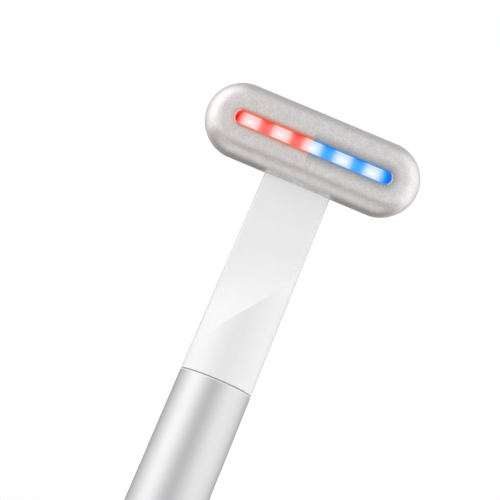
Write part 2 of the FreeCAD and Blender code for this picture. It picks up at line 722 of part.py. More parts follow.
def main_board():
    return block(-BOARD_W / 2, BOARD_W / 2, CARRIER_RIM, BOARD_BACK, BOARD_FOOT, BOARD_TOP)


def board_chips():
    """Charger, lamp driver and motor driver, on the board's front."""
    pieces = []
    for size, side, up in zip((CHARGER, LAMP_DRIVER, MOTOR_DRIVER), (-1, 1, -1), CHIP_UP):
        x = side * (BORE_R - CHIP_IN - (size[0] - CHARGER[0]) / 2)
        pieces.append(centred(size, x, CARRIER_RIM - size[1], BOARD_FOOT + up))
    return Part.makeCompound(pieces)


def lead_plug():
    width, depth, height = PLUG
    return block(-width / 2, width / 2, CARRIER_RIM - depth, CARRIER_RIM, PLUG_FOOT, PLUG_FOOT + height)


def lead_bundle():
    return rod(LEAD_D / 2, PLUG_FOOT + PLUG[2], HEAD_Z + BLOCK_TOP + AIR)


def vibration_motor():
    can = rod(MOTOR_D / 2, MOTOR_FOOT, MOTOR_TOP, 0, -MOTOR_AHEAD)
    can = can.makeChamfer(MOTOR_EDGE, edges_at_z(can, MOTOR_FOOT) + edges_at_z(can, MOTOR_TOP))
    foot = MOTOR_TOP - SHAFT_IN_CAN - AIR
    return can.cut(rod(MOTOR_SHAFT_D / 2 + RUN, foot, MOTOR_TOP + 1, 0, -MOTOR_AHEAD))


def motor_shaft():
    top = WEIGHT_FOOT + WEIGHT_L + SHAFT_END
    return rod(MOTOR_SHAFT_D / 2, MOTOR_TOP - SHAFT_IN_CAN, top, 0, -MOTOR_AHEAD)


def eccentric_weight():
    weight = sector(WEIGHT_R, 0.0, WEIGHT_FOOT, WEIGHT_FOOT + WEIGHT_L, 0, WEIGHT_HALF)
    weight = weight.fuse(rod(MOTOR_SHAFT_D, WEIGHT_FOOT, WEIGHT_FOOT + WEIGHT_L)).removeSplitter()
    weight = moved(weight, 0, -MOTOR_AHEAD, 0)
    return weight.cut(rod(MOTOR_SHAFT_D / 2, WEIGHT_FOOT - 1, WEIGHT_FOOT + WEIGHT_L + 1, 0, -MOTOR_AHEAD))


# ---------------------------------------------------------------- button and indicator

def tact_switch():
    case = centred(SWITCH, 0.0, BOARD_BACK, BUTTON_Z)
    bore = rod_y(PLUNGER_D / 2 + RUN, PLUNGER_FOOT - BUTTON_TRAVEL - AIR, SWITCH_TOP + 1, 0.0, BUTTON_Z)
    return case.cut(bore)


def switch_plunger():
    return rod_y(PLUNGER_D / 2, PLUNGER_FOOT, PLUNGER_TOP, 0.0, BUTTON_Z)


def power_button():
    button = on_grip(BUTTON_D / 2, BUTTON_PROUD, FLANGE_FOOT, BUTTON_Z)
    dish_y = GRIP_R + BUTTON_DISH_R - BUTTON_PROUD * 0.6
    dish = Part.makeSphere(BUTTON_DISH_R, V(0, dish_y, BUTTON_Z))
    button = button.cut(dish)
    flange_r = BUTTON_D / 2 + BEZEL_T * 0.7
    flange = rod_y(flange_r, FLANGE_FOOT, FLANGE_FOOT + BUTTON_FLANGE, 0.0, BUTTON_Z)
    foot = rod_y(PLUNGER_D, PLUNGER_TOP, FLANGE_FOOT, 0.0, BUTTON_Z)
    return button.fuse(flange).fuse(foot).removeSplitter()


def button_bezel():
    bezel = on_grip(BUTTON_D / 2 + BEZEL_T, BEZEL_PROUD, BEZEL_SEAT, BUTTON_Z)
    bezel = bezel.fuse(rod_y(BEZEL_FLANGE_R, BEZEL_SEAT, BEZEL_SEAT + BEZEL_FLANGE_T, 0.0, BUTTON_Z))
    return bezel.cut(rod_y(BUTTON_D / 2 + FIT, 0, GRIP_D, 0.0, BUTTON_Z)).removeSplitter()


def indicator_led():
    return centred(INDICATOR, 0.0, BOARD_BACK, BUTTON_Z + PIPE_ABOVE)


def light_pipe():
    foot = BOARD_BACK + INDICATOR[1] + AIR
    z = BUTTON_Z + PIPE_ABOVE
    pipe = on_grip(PIPE_D / 2, 0.0, foot, z)
    collar_back = BORE_R - 2 * AIR
    collar = rod_y(PIPE_D / 2 + PIPE_COLLAR, collar_back - PIPE_COLLAR_T, collar_back, 0.0, z)
    return pipe.fuse(collar).removeSplitter()


NODES = {
    "grip_tube": grip_tube,
    "end_cap": end_cap,
    "end_cap_seal": end_cap_seal,
    "end_cap_screws": end_cap_screws,
    "usb_socket": usb_socket,
    "usb_board": usb_board,
    "inner_carrier": inner_carrier,
    "carrier_screws": carrier_screws,
    "battery_cell": battery_cell,
    "battery_tabs": battery_tabs,
    "main_board": main_board,
    "board_chips": board_chips,
    "lead_plug": lead_plug,
    "lead_bundle": lead_bundle,
    "vibration_motor": vibration_motor,
    "motor_shaft": motor_shaft,
    "eccentric_weight": eccentric_weight,
    "tact_switch": tact_switch,
    "switch_plunger": switch_plunger,
    "power_button": power_button,
    "button_bezel": button_bezel,
    "indicator_led": indicator_led,
    "light_pipe": light_pipe,
    "seam_gasket": seam_gasket,
    "neck_shell": neck_shell,
    "swivel_bush": swivel_bush,
    "swivel_shaft": swivel_shaft,
    "friction_ring": friction_ring,
    "stop_ring": stop_ring,
    "retaining_clip": retaining_clip,
    "thrust_washer": thrust_washer,
    "swivel_block": swivel_block,
    "block_screws": block_screws,
    "head_face": head_face,
    "head_back": head_back,
    "light_window": light_window,
    "heater_film": heater_film,
    "temperature_sensor": temperature_sensor,
    "led_board": led_board,
    "led_board_screws": led_board_screws,
    "red_leds": lambda: leds(0, 1),
    "centre_led": lambda: leds(2, 2),
    "blue_leds": lambda: leds(3, 4),
    "head_plug": head_plug,
}

os.makedirs("parts", exist_ok=True)
for name, make in NODES.items():
    shape = make()
    shape.exportStep("parts/" + name + ".step")
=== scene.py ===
import math

import bpy
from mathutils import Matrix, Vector


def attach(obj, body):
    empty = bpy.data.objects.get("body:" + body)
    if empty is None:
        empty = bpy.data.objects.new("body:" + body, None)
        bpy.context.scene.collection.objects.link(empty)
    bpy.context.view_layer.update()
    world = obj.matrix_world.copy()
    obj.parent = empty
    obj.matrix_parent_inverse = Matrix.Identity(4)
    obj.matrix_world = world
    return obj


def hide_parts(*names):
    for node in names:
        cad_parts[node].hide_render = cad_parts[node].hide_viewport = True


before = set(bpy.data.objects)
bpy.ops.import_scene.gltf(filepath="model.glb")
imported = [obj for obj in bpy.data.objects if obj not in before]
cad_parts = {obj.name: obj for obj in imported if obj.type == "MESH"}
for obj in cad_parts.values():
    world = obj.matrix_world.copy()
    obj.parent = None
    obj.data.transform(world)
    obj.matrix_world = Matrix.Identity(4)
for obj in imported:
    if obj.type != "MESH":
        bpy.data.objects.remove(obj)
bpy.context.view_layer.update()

# A T-shaped light and warmth wand. Shapes are worked in millimetres and leave for the
# frame's metres through MM. The lit face looks towards -Y and the head is long along X.
MM = 0.001
ALONG_Y = 1
ALONG_Z = 2

# Grip
GRIP_R = 8.8
GRIP_BORE = 7.9
GRIP_FOOT = 4.0
GRIP_TOP = 97.0
GRIP_RIM = 0.15
RIM_ROUND = (0.3, 0.7)     # the rim's middle point, as shares of the rim
FOOT_BREAK = 0.08          # the broken edges where grip and end cap meet
BUTTON_BAND = 5            # the grip has a ring this far above and below the button,
PIPE_BAND = 2              # and this far above the pilot light
GRIP_WAY = 12              # the openings are cut from the axis out to here

# End cap
CAP_FOOT_EDGE = 0.6
FOOT_ROUND = (0.2, 0.35)   # the edge's middle point, as shares of the edge
CAP_SPIGOT_R = 7.85
CAP_SPIGOT_TOP = 10.0
CAP_HOLLOW_R = 6.7
CAP_FLOOR = 2.4
CAP_SCREW_Y = 5.7
CAP_SCREW_R = 1.4
CAP_SCREW_DEEP = 1.2
SOCKET_W = 9.04
SOCKET_H = 3.26

# Neck
NECK_FOOT = 97.25
NECK_TOP = 148.85
BLADE_T = 6.2
BLADE_EDGE = 0.3
BLADE_HALF = math.acos(BLADE_T / 2 / GRIP_R)    # half the angle that a blade facet spans
CROWN_SLOPE = 0.383        # the neck's top rises from its front edge under the head
CROWN_RISE = 1.1
TWIST_FOOT = 3.4
TWIST_RISE = 28.8
TWIST_EASE = 0.2
TWIST_RINGS = 90
TWIST_LEAD = 0.4           # the last plain ring below the twist
BLADE_RINGS = (3.0, 8.0, 13.0, 16.0)    # heights of the plain rings above the twist
TOP_RINGS = (0.8, 1.4, 2.0, 2.6)        # insets of the rings on the neck's top
CREASE_SOFT = 0.1          # how softly a facet meets the column,
CREASE_FULL = math.radians(25)          # from this half angle on
LEAST_FACET = math.radians(1.0)         # the half angle that a facet's points keep at least
GRAZING = 0.05             # keeps the chord's reach finite
TINY = 1e-6
SPIGOT_END = 88.0
SPIGOT_BORE = 6.9
BUSH_BORE = 2.5
COLLAR_R = 2.35
COLLAR_TOP = 150.9
COLLAR_LIFT = 0.05
COLLAR_EDGE = 0.12
COLLAR_FIT = 0.03
SHAFT_WAY = 1.75
OVERLAP = 1                # a cutting or joining tool passes its target by this much

# Head
HEAD_LEAN = math.radians(14)
HEAD_MID = (0.0, -0.6, 159.892)
HEAD_HALF = 28.55          # half length
HEAD_R = 9.55
HEAD_DEEP = 6.0            # half depth
FACE_ROLL = 4.6
BACK_ROLL = 5.6
FLAT_BAND = 0.4            # a narrow band beside a roll, which keeps the flat's shading flat
PART_LINE = 0.2
PART_IN = 0.05             # both casings turn in at the part line,
PART_DOWN = 0.08           # over this depth
SHELL = 1.2
BEVEL_SHARE = 2 - math.sqrt(2)          # an inner bevel that clears the roll outside it
SPINE = HEAD_HALF - HEAD_R
HUB = 0.6                  # the hole that is left in a disc's middle, to be filled
SLOT_R = 1.7
SLOT_SPINE = 20.65 - SLOT_R
SLOT_LIP = 0.15
LIP_START = 22.5           # where the lip's roll leaves the wall, in degrees

# Light window
WINDOW_SINK = 0.25
WINDOW_FIT = 0.05
WINDOW_LIP = 1.2
WINDOW_LIP_T = 0.8
WINDOW_ROLL = 0.15
WINDOW_HUB = 0.5

# Button and pilot light, on the grip's back; sections are radius and height over the axis
BUTTON_Z = 76.0
BUTTON_R = 2.95
BUTTON_PROUD = 0.25
BUTTON_SECTION = [
    (0.4, 4.9), (BUTTON_R, 4.9), (BUTTON_R, 8.85), (BUTTON_R - 0.06, 8.98), (BUTTON_R - 0.2, 9.02),
    (BUTTON_R * 0.8, 8.98), (BUTTON_R * 0.5, 8.91), (0.4, 8.88),
]
BEZEL_R = 3.75
BEZEL_BORE = BUTTON_R + 0.05
BEZEL_FOOT = 5.9
BEZEL_PROUD = 0.1
BEZEL_EDGE = 0.15
BEZEL_CREST = (0.4, 0.06)  # the ring's highest line: out from the bore, and up
BEZEL_WAY = BEZEL_R + 0.1
SKIRT_TOP = 8.0            # below this height a plug's skirt stays straight
PIPE_Z = 83.0
PIPE_R = 0.75
PIPE_WAY = PIPE_R + 0.05

# Vertices round a ring
HEAD_STEPS = 96
WINDOW_STEPS = 64
GRIP_STEPS = 256
CAP_STEPS = 192
FACET_STEPS = 64           # a quarter of the neck's
SPIGOT_STEPS = 128
RING_STEPS = 96            # bores, button, bezel and collar
SMALL_STEPS = 48           # screw recesses and the pilot light
SHAFT_STEPS = 64
SMOOTH = math.radians(28)
NECK_SMOOTH = math.radians(35)


# ------------------------------------------------------------------ modelling helpers

def deselect():
    if bpy.context.object and bpy.context.object.mode != "OBJECT":
        bpy.ops.object.mode_set(mode="OBJECT")
    bpy.ops.object.select_all(action="DESELECT")


def take(obj):
    deselect()
    obj.select_set(True)
    bpy.context.view_layer.objects.active = obj


def apply_place():
    bpy.ops.object.transform_apply(location=True, rotation=True, scale=True)


def settle(name):
    """Names the new primitive and puts its place into its mesh."""
    obj = bpy.context.object
    obj.name = name
    obj.data.name = name
    apply_place()
    return obj


def on_axis(axis, value, others=0.0):
    """Three values: one on the axis, another on the two across it."""
    three = [others] * 3
    three[axis] = value
    return three


def turned(name, steps, profile, axis):
    """A round shell, still open, that follows the profile's (radius, place) steps.

    Along Y it is turned half a step, so that no vertex lies at x = 0.
    """
    deselect()
    radius, place = profile[0]
    turn = (math.pi / 2, math.pi / steps, 0) if axis == ALONG_Y else (0, 0, 0)
    bpy.ops.mesh.primitive_circle_add(
        vertices=steps, radius=radius * MM, location=on_axis(axis, place * MM), rotation=turn
    )
    obj = settle(name)
    take(obj)
    bpy.ops.object.mode_set(mode="EDIT")
    bpy.ops.mesh.select_all(action="SELECT")
    for next_radius, next_place in profile[1:]:
        move = {"value": on_axis(axis, (next_place - place) * MM)}
        bpy.ops.mesh.extrude_edges_move(TRANSFORM_OT_translate=move)
        centre = on_axis(axis, next_place * MM)
        growth = on_axis(axis, 1, next_radius / radius)
        bpy.ops.transform.resize(value=growth, center_override=centre)
        radius, place = next_radius, next_place
    bpy.ops.object.mode_set(mode="OBJECT")
    return obj


def close_shell(obj):
    """Welds meeting rings, caps what is still open and turns the faces outwards."""
    take(obj)
    bpy.ops.object.mode_set(mode="EDIT")
    bpy.ops.mesh.select_mode(type="EDGE")
    bpy.ops.mesh.select_all(action="SELECT")
    bpy.ops.mesh.remove_doubles(threshold=0.002 * MM)
    bpy.ops.mesh.select_all(action="DESELECT")
    bpy.ops.mesh.select_non_manifold(
        extend=False, use_wire=False, use_boundary=True, use_multi_face=False,
        use_non_contiguous=False, use_verts=False,
    )
    bpy.ops.mesh.fill_holes(sides=0)
    bpy.ops.mesh.select_all(action="SELECT")
    bpy.ops.mesh.normals_make_consistent(inside=False)
    bpy.ops.object.mode_set(mode="OBJECT")


def shift_where(obj, test, distance):
    """Moves the vertices that pass the test, which is in millimetres, along X."""
    take(obj)
    bpy.ops.object.mode_set(mode="EDIT")
    bpy.ops.mesh.select_mode(type="VERT")
    bpy.ops.mesh.select_all(action="DESELECT")
    bpy.ops.object.mode_set(mode="OBJECT")
    for v in obj.data.vertices:
        v.select = test(v.co / MM)
    bpy.ops.object.mode_set(mode="EDIT")
    bpy.ops.transform.translate(value=(distance * MM, 0, 0))
    bpy.ops.object.mode_set(mode="OBJECT")


def stretch_pill(obj, spine):
    """Parts a round shell into a stadium: each half moves out along X by the spine."""
    for side in (-1, 1):
        shift_where(obj, lambda p: p.x * side > 0, side * spine)


def tighten_slot(obj):
    """The slot's rings end a little nearer to the middle than the head's do."""
    near = SLOT_R + 1.5 * SLOT_LIP
    for side in (-1, 1):
        shift_where(
            obj, lambda p: p.x * side > 0 and math.hypot(p.x - side * SPINE, p.z) < near,
            side * (SLOT_SPINE - SPINE),
        )


def lean_to_head(obj):
    """From the head's own upright frame to its leaning place on the wand."""
    take(obj)
    obj.rotation_euler.x = HEAD_LEAN
    obj.location = Vector(HEAD_MID) * MM
    apply_place()


def lift(obj, z):
    take(obj)
    obj.location.z = z * MM
    apply_place()


def smooth(obj, angle=SMOOTH):
    take(obj)
    bpy.ops.object.shade_smooth_by_angle(angle=angle)


def combine(obj, other, operation):
    """Joins the other solid to the piece, or takes it away, and removes the other."""
    take(obj)
    step = obj.modifiers.new("combine", "BOOLEAN")
    step.operation = operation
    step.solver = "EXACT"
    step.object = other
    bpy.ops.object.modifier_apply(modifier=step.name)
    bpy.data.objects.remove(other, do_unlink=True)


def cut(obj, tool):
    combine(obj, tool, "DIFFERENCE")


def rod(name, radius, start, end, steps, axis=ALONG_Z, beside=0.0):
    """A cylinder in the plane x = 0, along Y or Z, at a distance beside that axis."""
    deselect()
    middle = (start + end) / 2
    place = (0, middle, beside) if axis == ALONG_Y else (0, beside, middle)
    turn = (math.pi / 2, 0, 0) if axis == ALONG_Y else (0, 0, 0)
    bpy.ops.mesh.primitive_cylinder_add(
        vertices=steps, radius=radius * MM, depth=(end - start) * MM,
        location=[part * MM for part in place], rotation=turn,
    )
    return settle(name)


def twin(obj):
    take(obj)
    bpy.ops.object.duplicate()
    return bpy.context.object


def quarter(radius, steps, first, last):
    """Sine and cosine offsets of a roll between two angles, in degrees."""
    points = []
    for i in range(steps + 1):
        turn = math.radians(first + (last - first) * i / steps)
        points.append((radius * math.sin(turn), radius * math.cos(turn)))
    return points


# ------------------------------------------------------------------ head

def head_face_piece():
    """The front casing: slot wall, rolled slot lip, flat face, rolled rim, side and inside."""
    front = -HEAD_DEEP
    inner = front + SHELL
    flat = HEAD_R - FACE_ROLL
    bevel = (FACE_ROLL - SHELL) * BEVEL_SHARE
    profile = [(SLOT_R, inner), (SLOT_R, front + SLOT_LIP)]
    for out, up in quarter(SLOT_LIP, 4, LIP_START, 90)[:-1]:
        profile.append((SLOT_R + SLOT_LIP - up, front + SLOT_LIP - out))
    profile += [(SLOT_R + SLOT_LIP, front), (SLOT_R + 2 * SLOT_LIP, front), (flat - FLAT_BAND, front)]
    for out, up in quarter(FACE_ROLL, 14, 0, 90):
        profile.append((flat + out, front + FACE_ROLL - up))
    profile += [(HEAD_R, PART_LINE - PART_DOWN), (HEAD_R - PART_IN, PART_LINE)]
    profile += [(HEAD_R - SHELL, PART_LINE), (HEAD_R - SHELL, inner + bevel)]
    profile += [(HEAD_R - SHELL - bevel, inner), (SLOT_R, inner)]
    obj = turned("front_casing", HEAD_STEPS, profile, ALONG_Y)
    stretch_pill(obj, SPINE)
    tighten_slot(obj)
    close_shell(obj)
    lean_to_head(obj)
    smooth(obj)
    return obj


def head_back_piece():
    """The rear casing: a rolled tray that closes the head behind the part line."""
    inner = HEAD_DEEP - SHELL
    flat = HEAD_R - BACK_ROLL
    bevel = (BACK_ROLL - SHELL) * BEVEL_SHARE
    profile = [(HUB, inner), (HEAD_R - SHELL - bevel, inner), (HEAD_R - SHELL, inner - bevel)]
    profile += [(HEAD_R - SHELL, PART_LINE), (HEAD_R - PART_IN, PART_LINE)]
    profile.append((HEAD_R, PART_LINE + PART_DOWN))
    for out, up in quarter(BACK_ROLL, 16, 90, 0):
        profile.append((flat + out, HEAD_DEEP - BACK_ROLL + up))
    profile += [(flat - FLAT_BAND, HEAD_DEEP), (HUB, HEAD_DEEP)]
    obj = turned("rear_casing", HEAD_STEPS, profile, ALONG_Y)
    stretch_pill(obj, SPINE)
    close_shell(obj)
    lean_to_head(obj)
    smooth(obj)
    return obj


def window_piece():
    """The milky light bar: its nose fills the slot and its lip sits behind the casing."""
    front = -HEAD_DEEP + WINDOW_SINK
    inner = -HEAD_DEEP + SHELL
    nose = SLOT_R - WINDOW_FIT
    lip = SLOT_R + WINDOW_LIP
    profile = [(WINDOW_HUB, front), (nose - 2 * WINDOW_ROLL, front)]
    for out, up in quarter(WINDOW_ROLL, 3, 0, 90):
        profile.append((nose - WINDOW_ROLL + out, front + WINDOW_ROLL - up))
    profile += [(nose, inner), (lip, inner), (lip, inner + WINDOW_LIP_T)]
    profile.append((WINDOW_HUB, inner + WINDOW_LIP_T))
    obj = turned("light_bar", WINDOW_STEPS, profile, ALONG_Y)
    stretch_pill(obj, SLOT_SPINE)
    close_shell(obj)
    lean_to_head(obj)
    smooth(obj)
    return obj


# ------------------------------------------------------------------ neck

def facet_half(z):
    """Half the angle that the winding facet spans at a height, in radians."""
    t = (z - NECK_FOOT - TWIST_FOOT) / TWIST_RISE
    t = min(max(t, 0.0), 1.0)
    return BLADE_HALF * (t + TWIST_EASE * t * t * (1 - t))


def neck_point(share, z, inset):
    """A point of the neck's outline at a height, share running from 0 to 1 round it.

    The outline is a circle cut by two facing chords. Its points crowd towards the
    creases, so the mesh's lines run along them.
    """
    half = facet_half(z)
    spread = max(half, LEAST_FACET)
    turn, along = divmod(share * 4, 1)
    along = (1 - math.cos(math.pi * along)) / 2
    facing = half - BLADE_HALF
    side = math.pi * (turn // 2)
    if turn % 2 == 0:
        angle = facing - spread + 2 * spread * along
    else:
        angle = facing + spread + (math.pi - 2 * spread) * along
    radius = GRIP_R - inset
    chord = (GRIP_R * math.cos(half) - inset) / max(abs(math.cos(angle - facing)), GRAZING)
    soft = CREASE_SOFT * min(1.0, half / CREASE_FULL) + TINY
    blend = min(max(0.5 + 0.5 * (chord - radius) / soft, 0.0), 1.0)
    reach = chord * (1 - blend) + radius * blend - soft * blend * (1 - blend)
    angle += side
    return Vector((reach * math.sin(angle), -reach * math.cos(angle), z)) * MM


def crown(y):
    """How far the neck's top rises at a depth, in millimetres."""
    return min(max(CROWN_SLOPE * (y + BLADE_T / 2), 0.0), CROWN_RISE)


def place_ring(obj, first, count, z, inset):
    for i in range(count):
        place = neck_point(i / count, z, inset)
        if z >= NECK_TOP - BLADE_EDGE:
            place.z += crown(place.y / MM) * MM
        obj.data.vertices[first + i].co = place


def neck_piece():
    """The white neck: a round column whose two facets wind round into a flat blade."""
    count = 4 * FACET_STEPS
    twist = NECK_FOOT + TWIST_FOOT
    heights = [(NECK_FOOT, 0.0), (twist - TWIST_LEAD, 0.0)]
    for i in range(TWIST_RINGS + 1):
        heights.append((twist + TWIST_RISE * i / TWIST_RINGS, 0.0))
    for z in BLADE_RINGS:
        heights.append((twist + TWIST_RISE + z, 0.0))
    for out, up in quarter(BLADE_EDGE, 4, 90, 0):
        heights.append((NECK_TOP - BLADE_EDGE + up, BLADE_EDGE - out))
    for inset in TOP_RINGS:
        heights.append((NECK_TOP, inset))
    obj = turned("neck_moulding", count, [(GRIP_R, z) for z, inset in heights], ALONG_Z)
    for i, (z, inset) in enumerate(heights):
        place_ring(obj, i * count, count, z, inset)
    close_shell(obj)
    foot = NECK_FOOT + OVERLAP
    combine(obj, rod("spigot", CAP_SPIGOT_R, SPIGOT_END, foot, SPIGOT_STEPS), "UNION")
    cut(obj, rod("bush_bore", BUSH_BORE, foot, NECK_TOP, RING_STEPS))
    cut(obj, rod("hollow", SPIGOT_BORE, SPIGOT_END - OVERLAP, foot + OVERLAP, RING_STEPS))
    seat = COLLAR_R + COLLAR_FIT
    cut(obj, rod("collar_seat", seat, NECK_TOP - OVERLAP, NECK_TOP + 2 * OVERLAP, RING_STEPS))
    smooth(obj, NECK_SMOOTH)
    return obj


def collar_piece(casings):
    """The collar on which the head turns, its top cut to the casings' underside."""
    foot = NECK_TOP + COLLAR_LIFT
    profile = [(SHAFT_WAY, foot), (COLLAR_R - COLLAR_EDGE, foot), (COLLAR_R, foot + COLLAR_EDGE)]
    profile += [(COLLAR_R, COLLAR_TOP), (SHAFT_WAY, COLLAR_TOP), (SHAFT_WAY, foot)]
    obj = turned("swivel_collar", RING_STEPS, profile, ALONG_Z)
    close_shell(obj)
    for casing in casings:
        cut(obj, twin(casing))
    smooth(obj)
    return obj


# ------------------------------------------------------------------ grip and end cap

def grip_piece():
    """The metal tube, with its openings for the button and the pilot light."""
    share_in, share_down = RIM_ROUND
    profile = [(GRIP_BORE, GRIP_TOP), (GRIP_R - GRIP_RIM, GRIP_TOP)]
    profile.append((GRIP_R - GRIP_RIM * share_in, GRIP_TOP - GRIP_RIM * share_down))
    profile.append((GRIP_R, GRIP_TOP - GRIP_RIM))
    bands = (PIPE_Z + PIPE_BAND, BUTTON_Z + BUTTON_BAND, BUTTON_Z - BUTTON_BAND)
    for z in (*bands, GRIP_FOOT + FOOT_BREAK):
        profile.append((GRIP_R, z))
    profile += [(GRIP_R - FOOT_BREAK, GRIP_FOOT), (GRIP_BORE, GRIP_FOOT), (GRIP_BORE, GRIP_TOP)]
    obj = turned("grip_sleeve", GRIP_STEPS, profile, ALONG_Z)
    close_shell(obj)
    cut(obj, rod("button_way", BEZEL_WAY, 0, GRIP_WAY, RING_STEPS, ALONG_Y, BUTTON_Z))
    cut(obj, rod("pilot_way", PIPE_WAY, 0, GRIP_WAY, SMALL_STEPS, ALONG_Y, PIPE_Z))
    smooth(obj)
    return obj


def cap_piece():
    """The end cap: a rounded foot, a spigot, the socket's opening and two screw recesses."""
    share_in, share_up = FOOT_ROUND
    profile = [(CAP_HOLLOW_R, CAP_FLOOR), (CAP_HOLLOW_R, CAP_SPIGOT_TOP)]
    profile += [(CAP_SPIGOT_R, CAP_SPIGOT_TOP), (CAP_SPIGOT_R, GRIP_FOOT)]
    profile += [(GRIP_R - FOOT_BREAK, GRIP_FOOT), (GRIP_R, GRIP_FOOT - FOOT_BREAK)]
    profile.append((GRIP_R, CAP_FOOT_EDGE))
    profile.append((GRIP_R - CAP_FOOT_EDGE * share_in, CAP_FOOT_EDGE * share_up))
    profile.append((GRIP_R - CAP_FOOT_EDGE, 0.0))
    obj = turned("foot_cap", CAP_STEPS, profile, ALONG_Z)
    close_shell(obj)
    for y in (-CAP_SCREW_Y, CAP_SCREW_Y):
        cut(obj, rod("screw_way", CAP_SCREW_R, -OVERLAP, CAP_SCREW_DEEP, SMALL_STEPS, ALONG_Z, y))
    cut(obj, socket_way())
    smooth(obj)
    return obj


def socket_way():
    r = SOCKET_H / 2
    profile = [(r, -2 * OVERLAP), (r, CAP_FLOOR + OVERLAP)]
    obj = turned("socket_way", WINDOW_STEPS, profile, ALONG_Y)
    stretch_pill(obj, SOCKET_W / 2 - r)
    close_shell(obj)
    take(obj)
    obj.rotation_euler.x = math.pi / 2
    apply_place()
    return obj


# ------------------------------------------------------------------ button

def button_piece():
    """The press button: a dished disc whose skirt follows the grip's curve."""
    return back_plug("press_button", BUTTON_SECTION, GRIP_R + BUTTON_PROUD)


def bezel_piece():
    """The bright ring round the button, its rounded front following the grip's curve."""
    front = GRIP_R + BEZEL_PROUD
    crest_out, crest_up = BEZEL_CREST
    profile = [(BEZEL_BORE, BEZEL_FOOT), (BEZEL_BORE, front - BEZEL_EDGE)]
    profile += [(BEZEL_BORE + BEZEL_EDGE, front), (BEZEL_BORE + crest_out, front + crest_up)]
    profile += [(BEZEL_R - BEZEL_EDGE, front), (BEZEL_R, front - BEZEL_EDGE)]
    profile += [(BEZEL_R, BEZEL_FOOT), (BEZEL_BORE, BEZEL_FOOT)]
    return back_plug("button_ring", profile, front)


def back_plug(name, profile, curve):
    """A round plug in the grip's back at the button's height, its front bent to a curve."""
    obj = turned(name, RING_STEPS, profile, ALONG_Y)
    close_shell(obj)
    r = curve * MM
    for v in obj.data.vertices:
        if v.co.y > SKIRT_TOP * MM:
            v.co.y -= r - math.sqrt(r * r - v.co.x * v.co.x)
    lift(obj, BUTTON_Z)
    smooth(obj)
    return obj


# ------------------------------------------------------------------ shader helpers

def shade(red, green, blue):
    """A screen colour of 0 to 255 as the linear colour that a shader takes."""
    linear = []
    for value in (red, green, blue):
        c = value / 255
        linear.append(c / 12.92 if c <= 0.04045 else ((c + 0.055) / 1.055) ** 2.4)
    return (*linear, 1.0)


def grey(tone):
    return (tone, tone, tone, 1.0)


BLACK = grey(0)
WHITE = grey(1)


def link(tree, source, target):
    tree.links.new(source, target)


def feed(tree, value, socket):
    """Links a socket, or sets a plain value."""
    if isinstance(value, bpy.types.NodeSocket):
        link(tree, value, socket)
    else:
        socket.default_value = value


def number(tree, operation, a, b=None):
    """A Math node; a and b are sockets or plain numbers."""
    item = tree.nodes.new("ShaderNodeMath")
    item.operation = operation
    feed(tree, a, item.inputs[0])
    if b is not None:
        feed(tree, b, item.inputs[1])
    return item.outputs[0]


def plus(tree, a, b):
    return number(tree, "ADD", a, b)


def minus(tree, a, b):
    return number(tree, "SUBTRACT", a, b)


def times(tree, *factors):
    """The product of two or more sockets or numbers."""
    product = factors[0]
    for factor in factors[1:]:
        product = number(tree, "MULTIPLY", product, factor)
    return product


def rest_of(tree, mask):
    return minus(tree, 1.0, mask)


def between(tree, value, low, high, to_low=0.0, to_high=1.0, smoothly=True):
    item = tree.nodes.new("ShaderNodeMapRange")
    item.interpolation_type = "SMOOTHSTEP" if smoothly else "LINEAR"
    link(tree, value, item.inputs["Value"])
    item.inputs["From Min"].default_value = low
    item.inputs["From Max"].default_value = high
    item.inputs["To Min"].default_value = to_low
    item.inputs["To Max"].default_value = to_high
    return item.outputs["Result"]


def blend_colour(tree, factor, a, b, mode="MIX"):
    item = tree.nodes.new("ShaderNodeMix")
    item.data_type = "RGBA"
    item.blend_type = mode
    feed(tree, factor, item.inputs[0])
    feed(tree, a, item.inputs[6])
    feed(tree, b, item.inputs[7])
    return item.outputs[2]


def tinted(tree, colour, tint):
    """One colour multiplied by another."""
    return blend_colour(tree, 1.0, colour, tint, "MULTIPLY")


def ramp(tree, value, stops):
    item = tree.nodes.new("ShaderNodeValToRGB")
    link(tree, value, item.inputs["Fac"])
    marks = item.color_ramp.elements
    while len(marks) < len(stops):
        marks.new(0.5)
    for mark, (place, colour) in zip(marks, stops):
        mark.position = place
        mark.color = colour
    return item.outputs["Color"]


def axes(tree, vector):
    """The X, Y and Z of a vector."""
    item = tree.nodes.new("ShaderNodeSeparateXYZ")
    link(tree, vector, item.inputs[0])
    return item.outputs


def vector_step(tree, operation, vector):
    item = tree.nodes.new("ShaderNodeVectorMath")
    item.operation = operation
    link(tree, vector, item.inputs[0])
    return item


# ------------------------------------------------------------------ shader groups

VALUE = "NodeSocketFloat"
VECTOR = "NodeSocketVector"
COLOUR = "NodeSocketColor"


def new_group(name, inputs, outputs):
    group = bpy.data.node_groups.new(name, "ShaderNodeTree")
    for label, kind, value in inputs:
        socket = group.interface.new_socket(label, in_out="INPUT", socket_type=kind)
        if value is not None:
            socket.default_value = value
    for label, kind in outputs:
        group.interface.new_socket(label, in_out="OUTPUT", socket_type=kind)
    entry = group.nodes.new("NodeGroupInput")
    leave = group.nodes.new("NodeGroupOutput")
    return group, entry.outputs, leave.inputs


BROAD_SHARE = 0.4          # how much the broad mottling adds to the fine grain


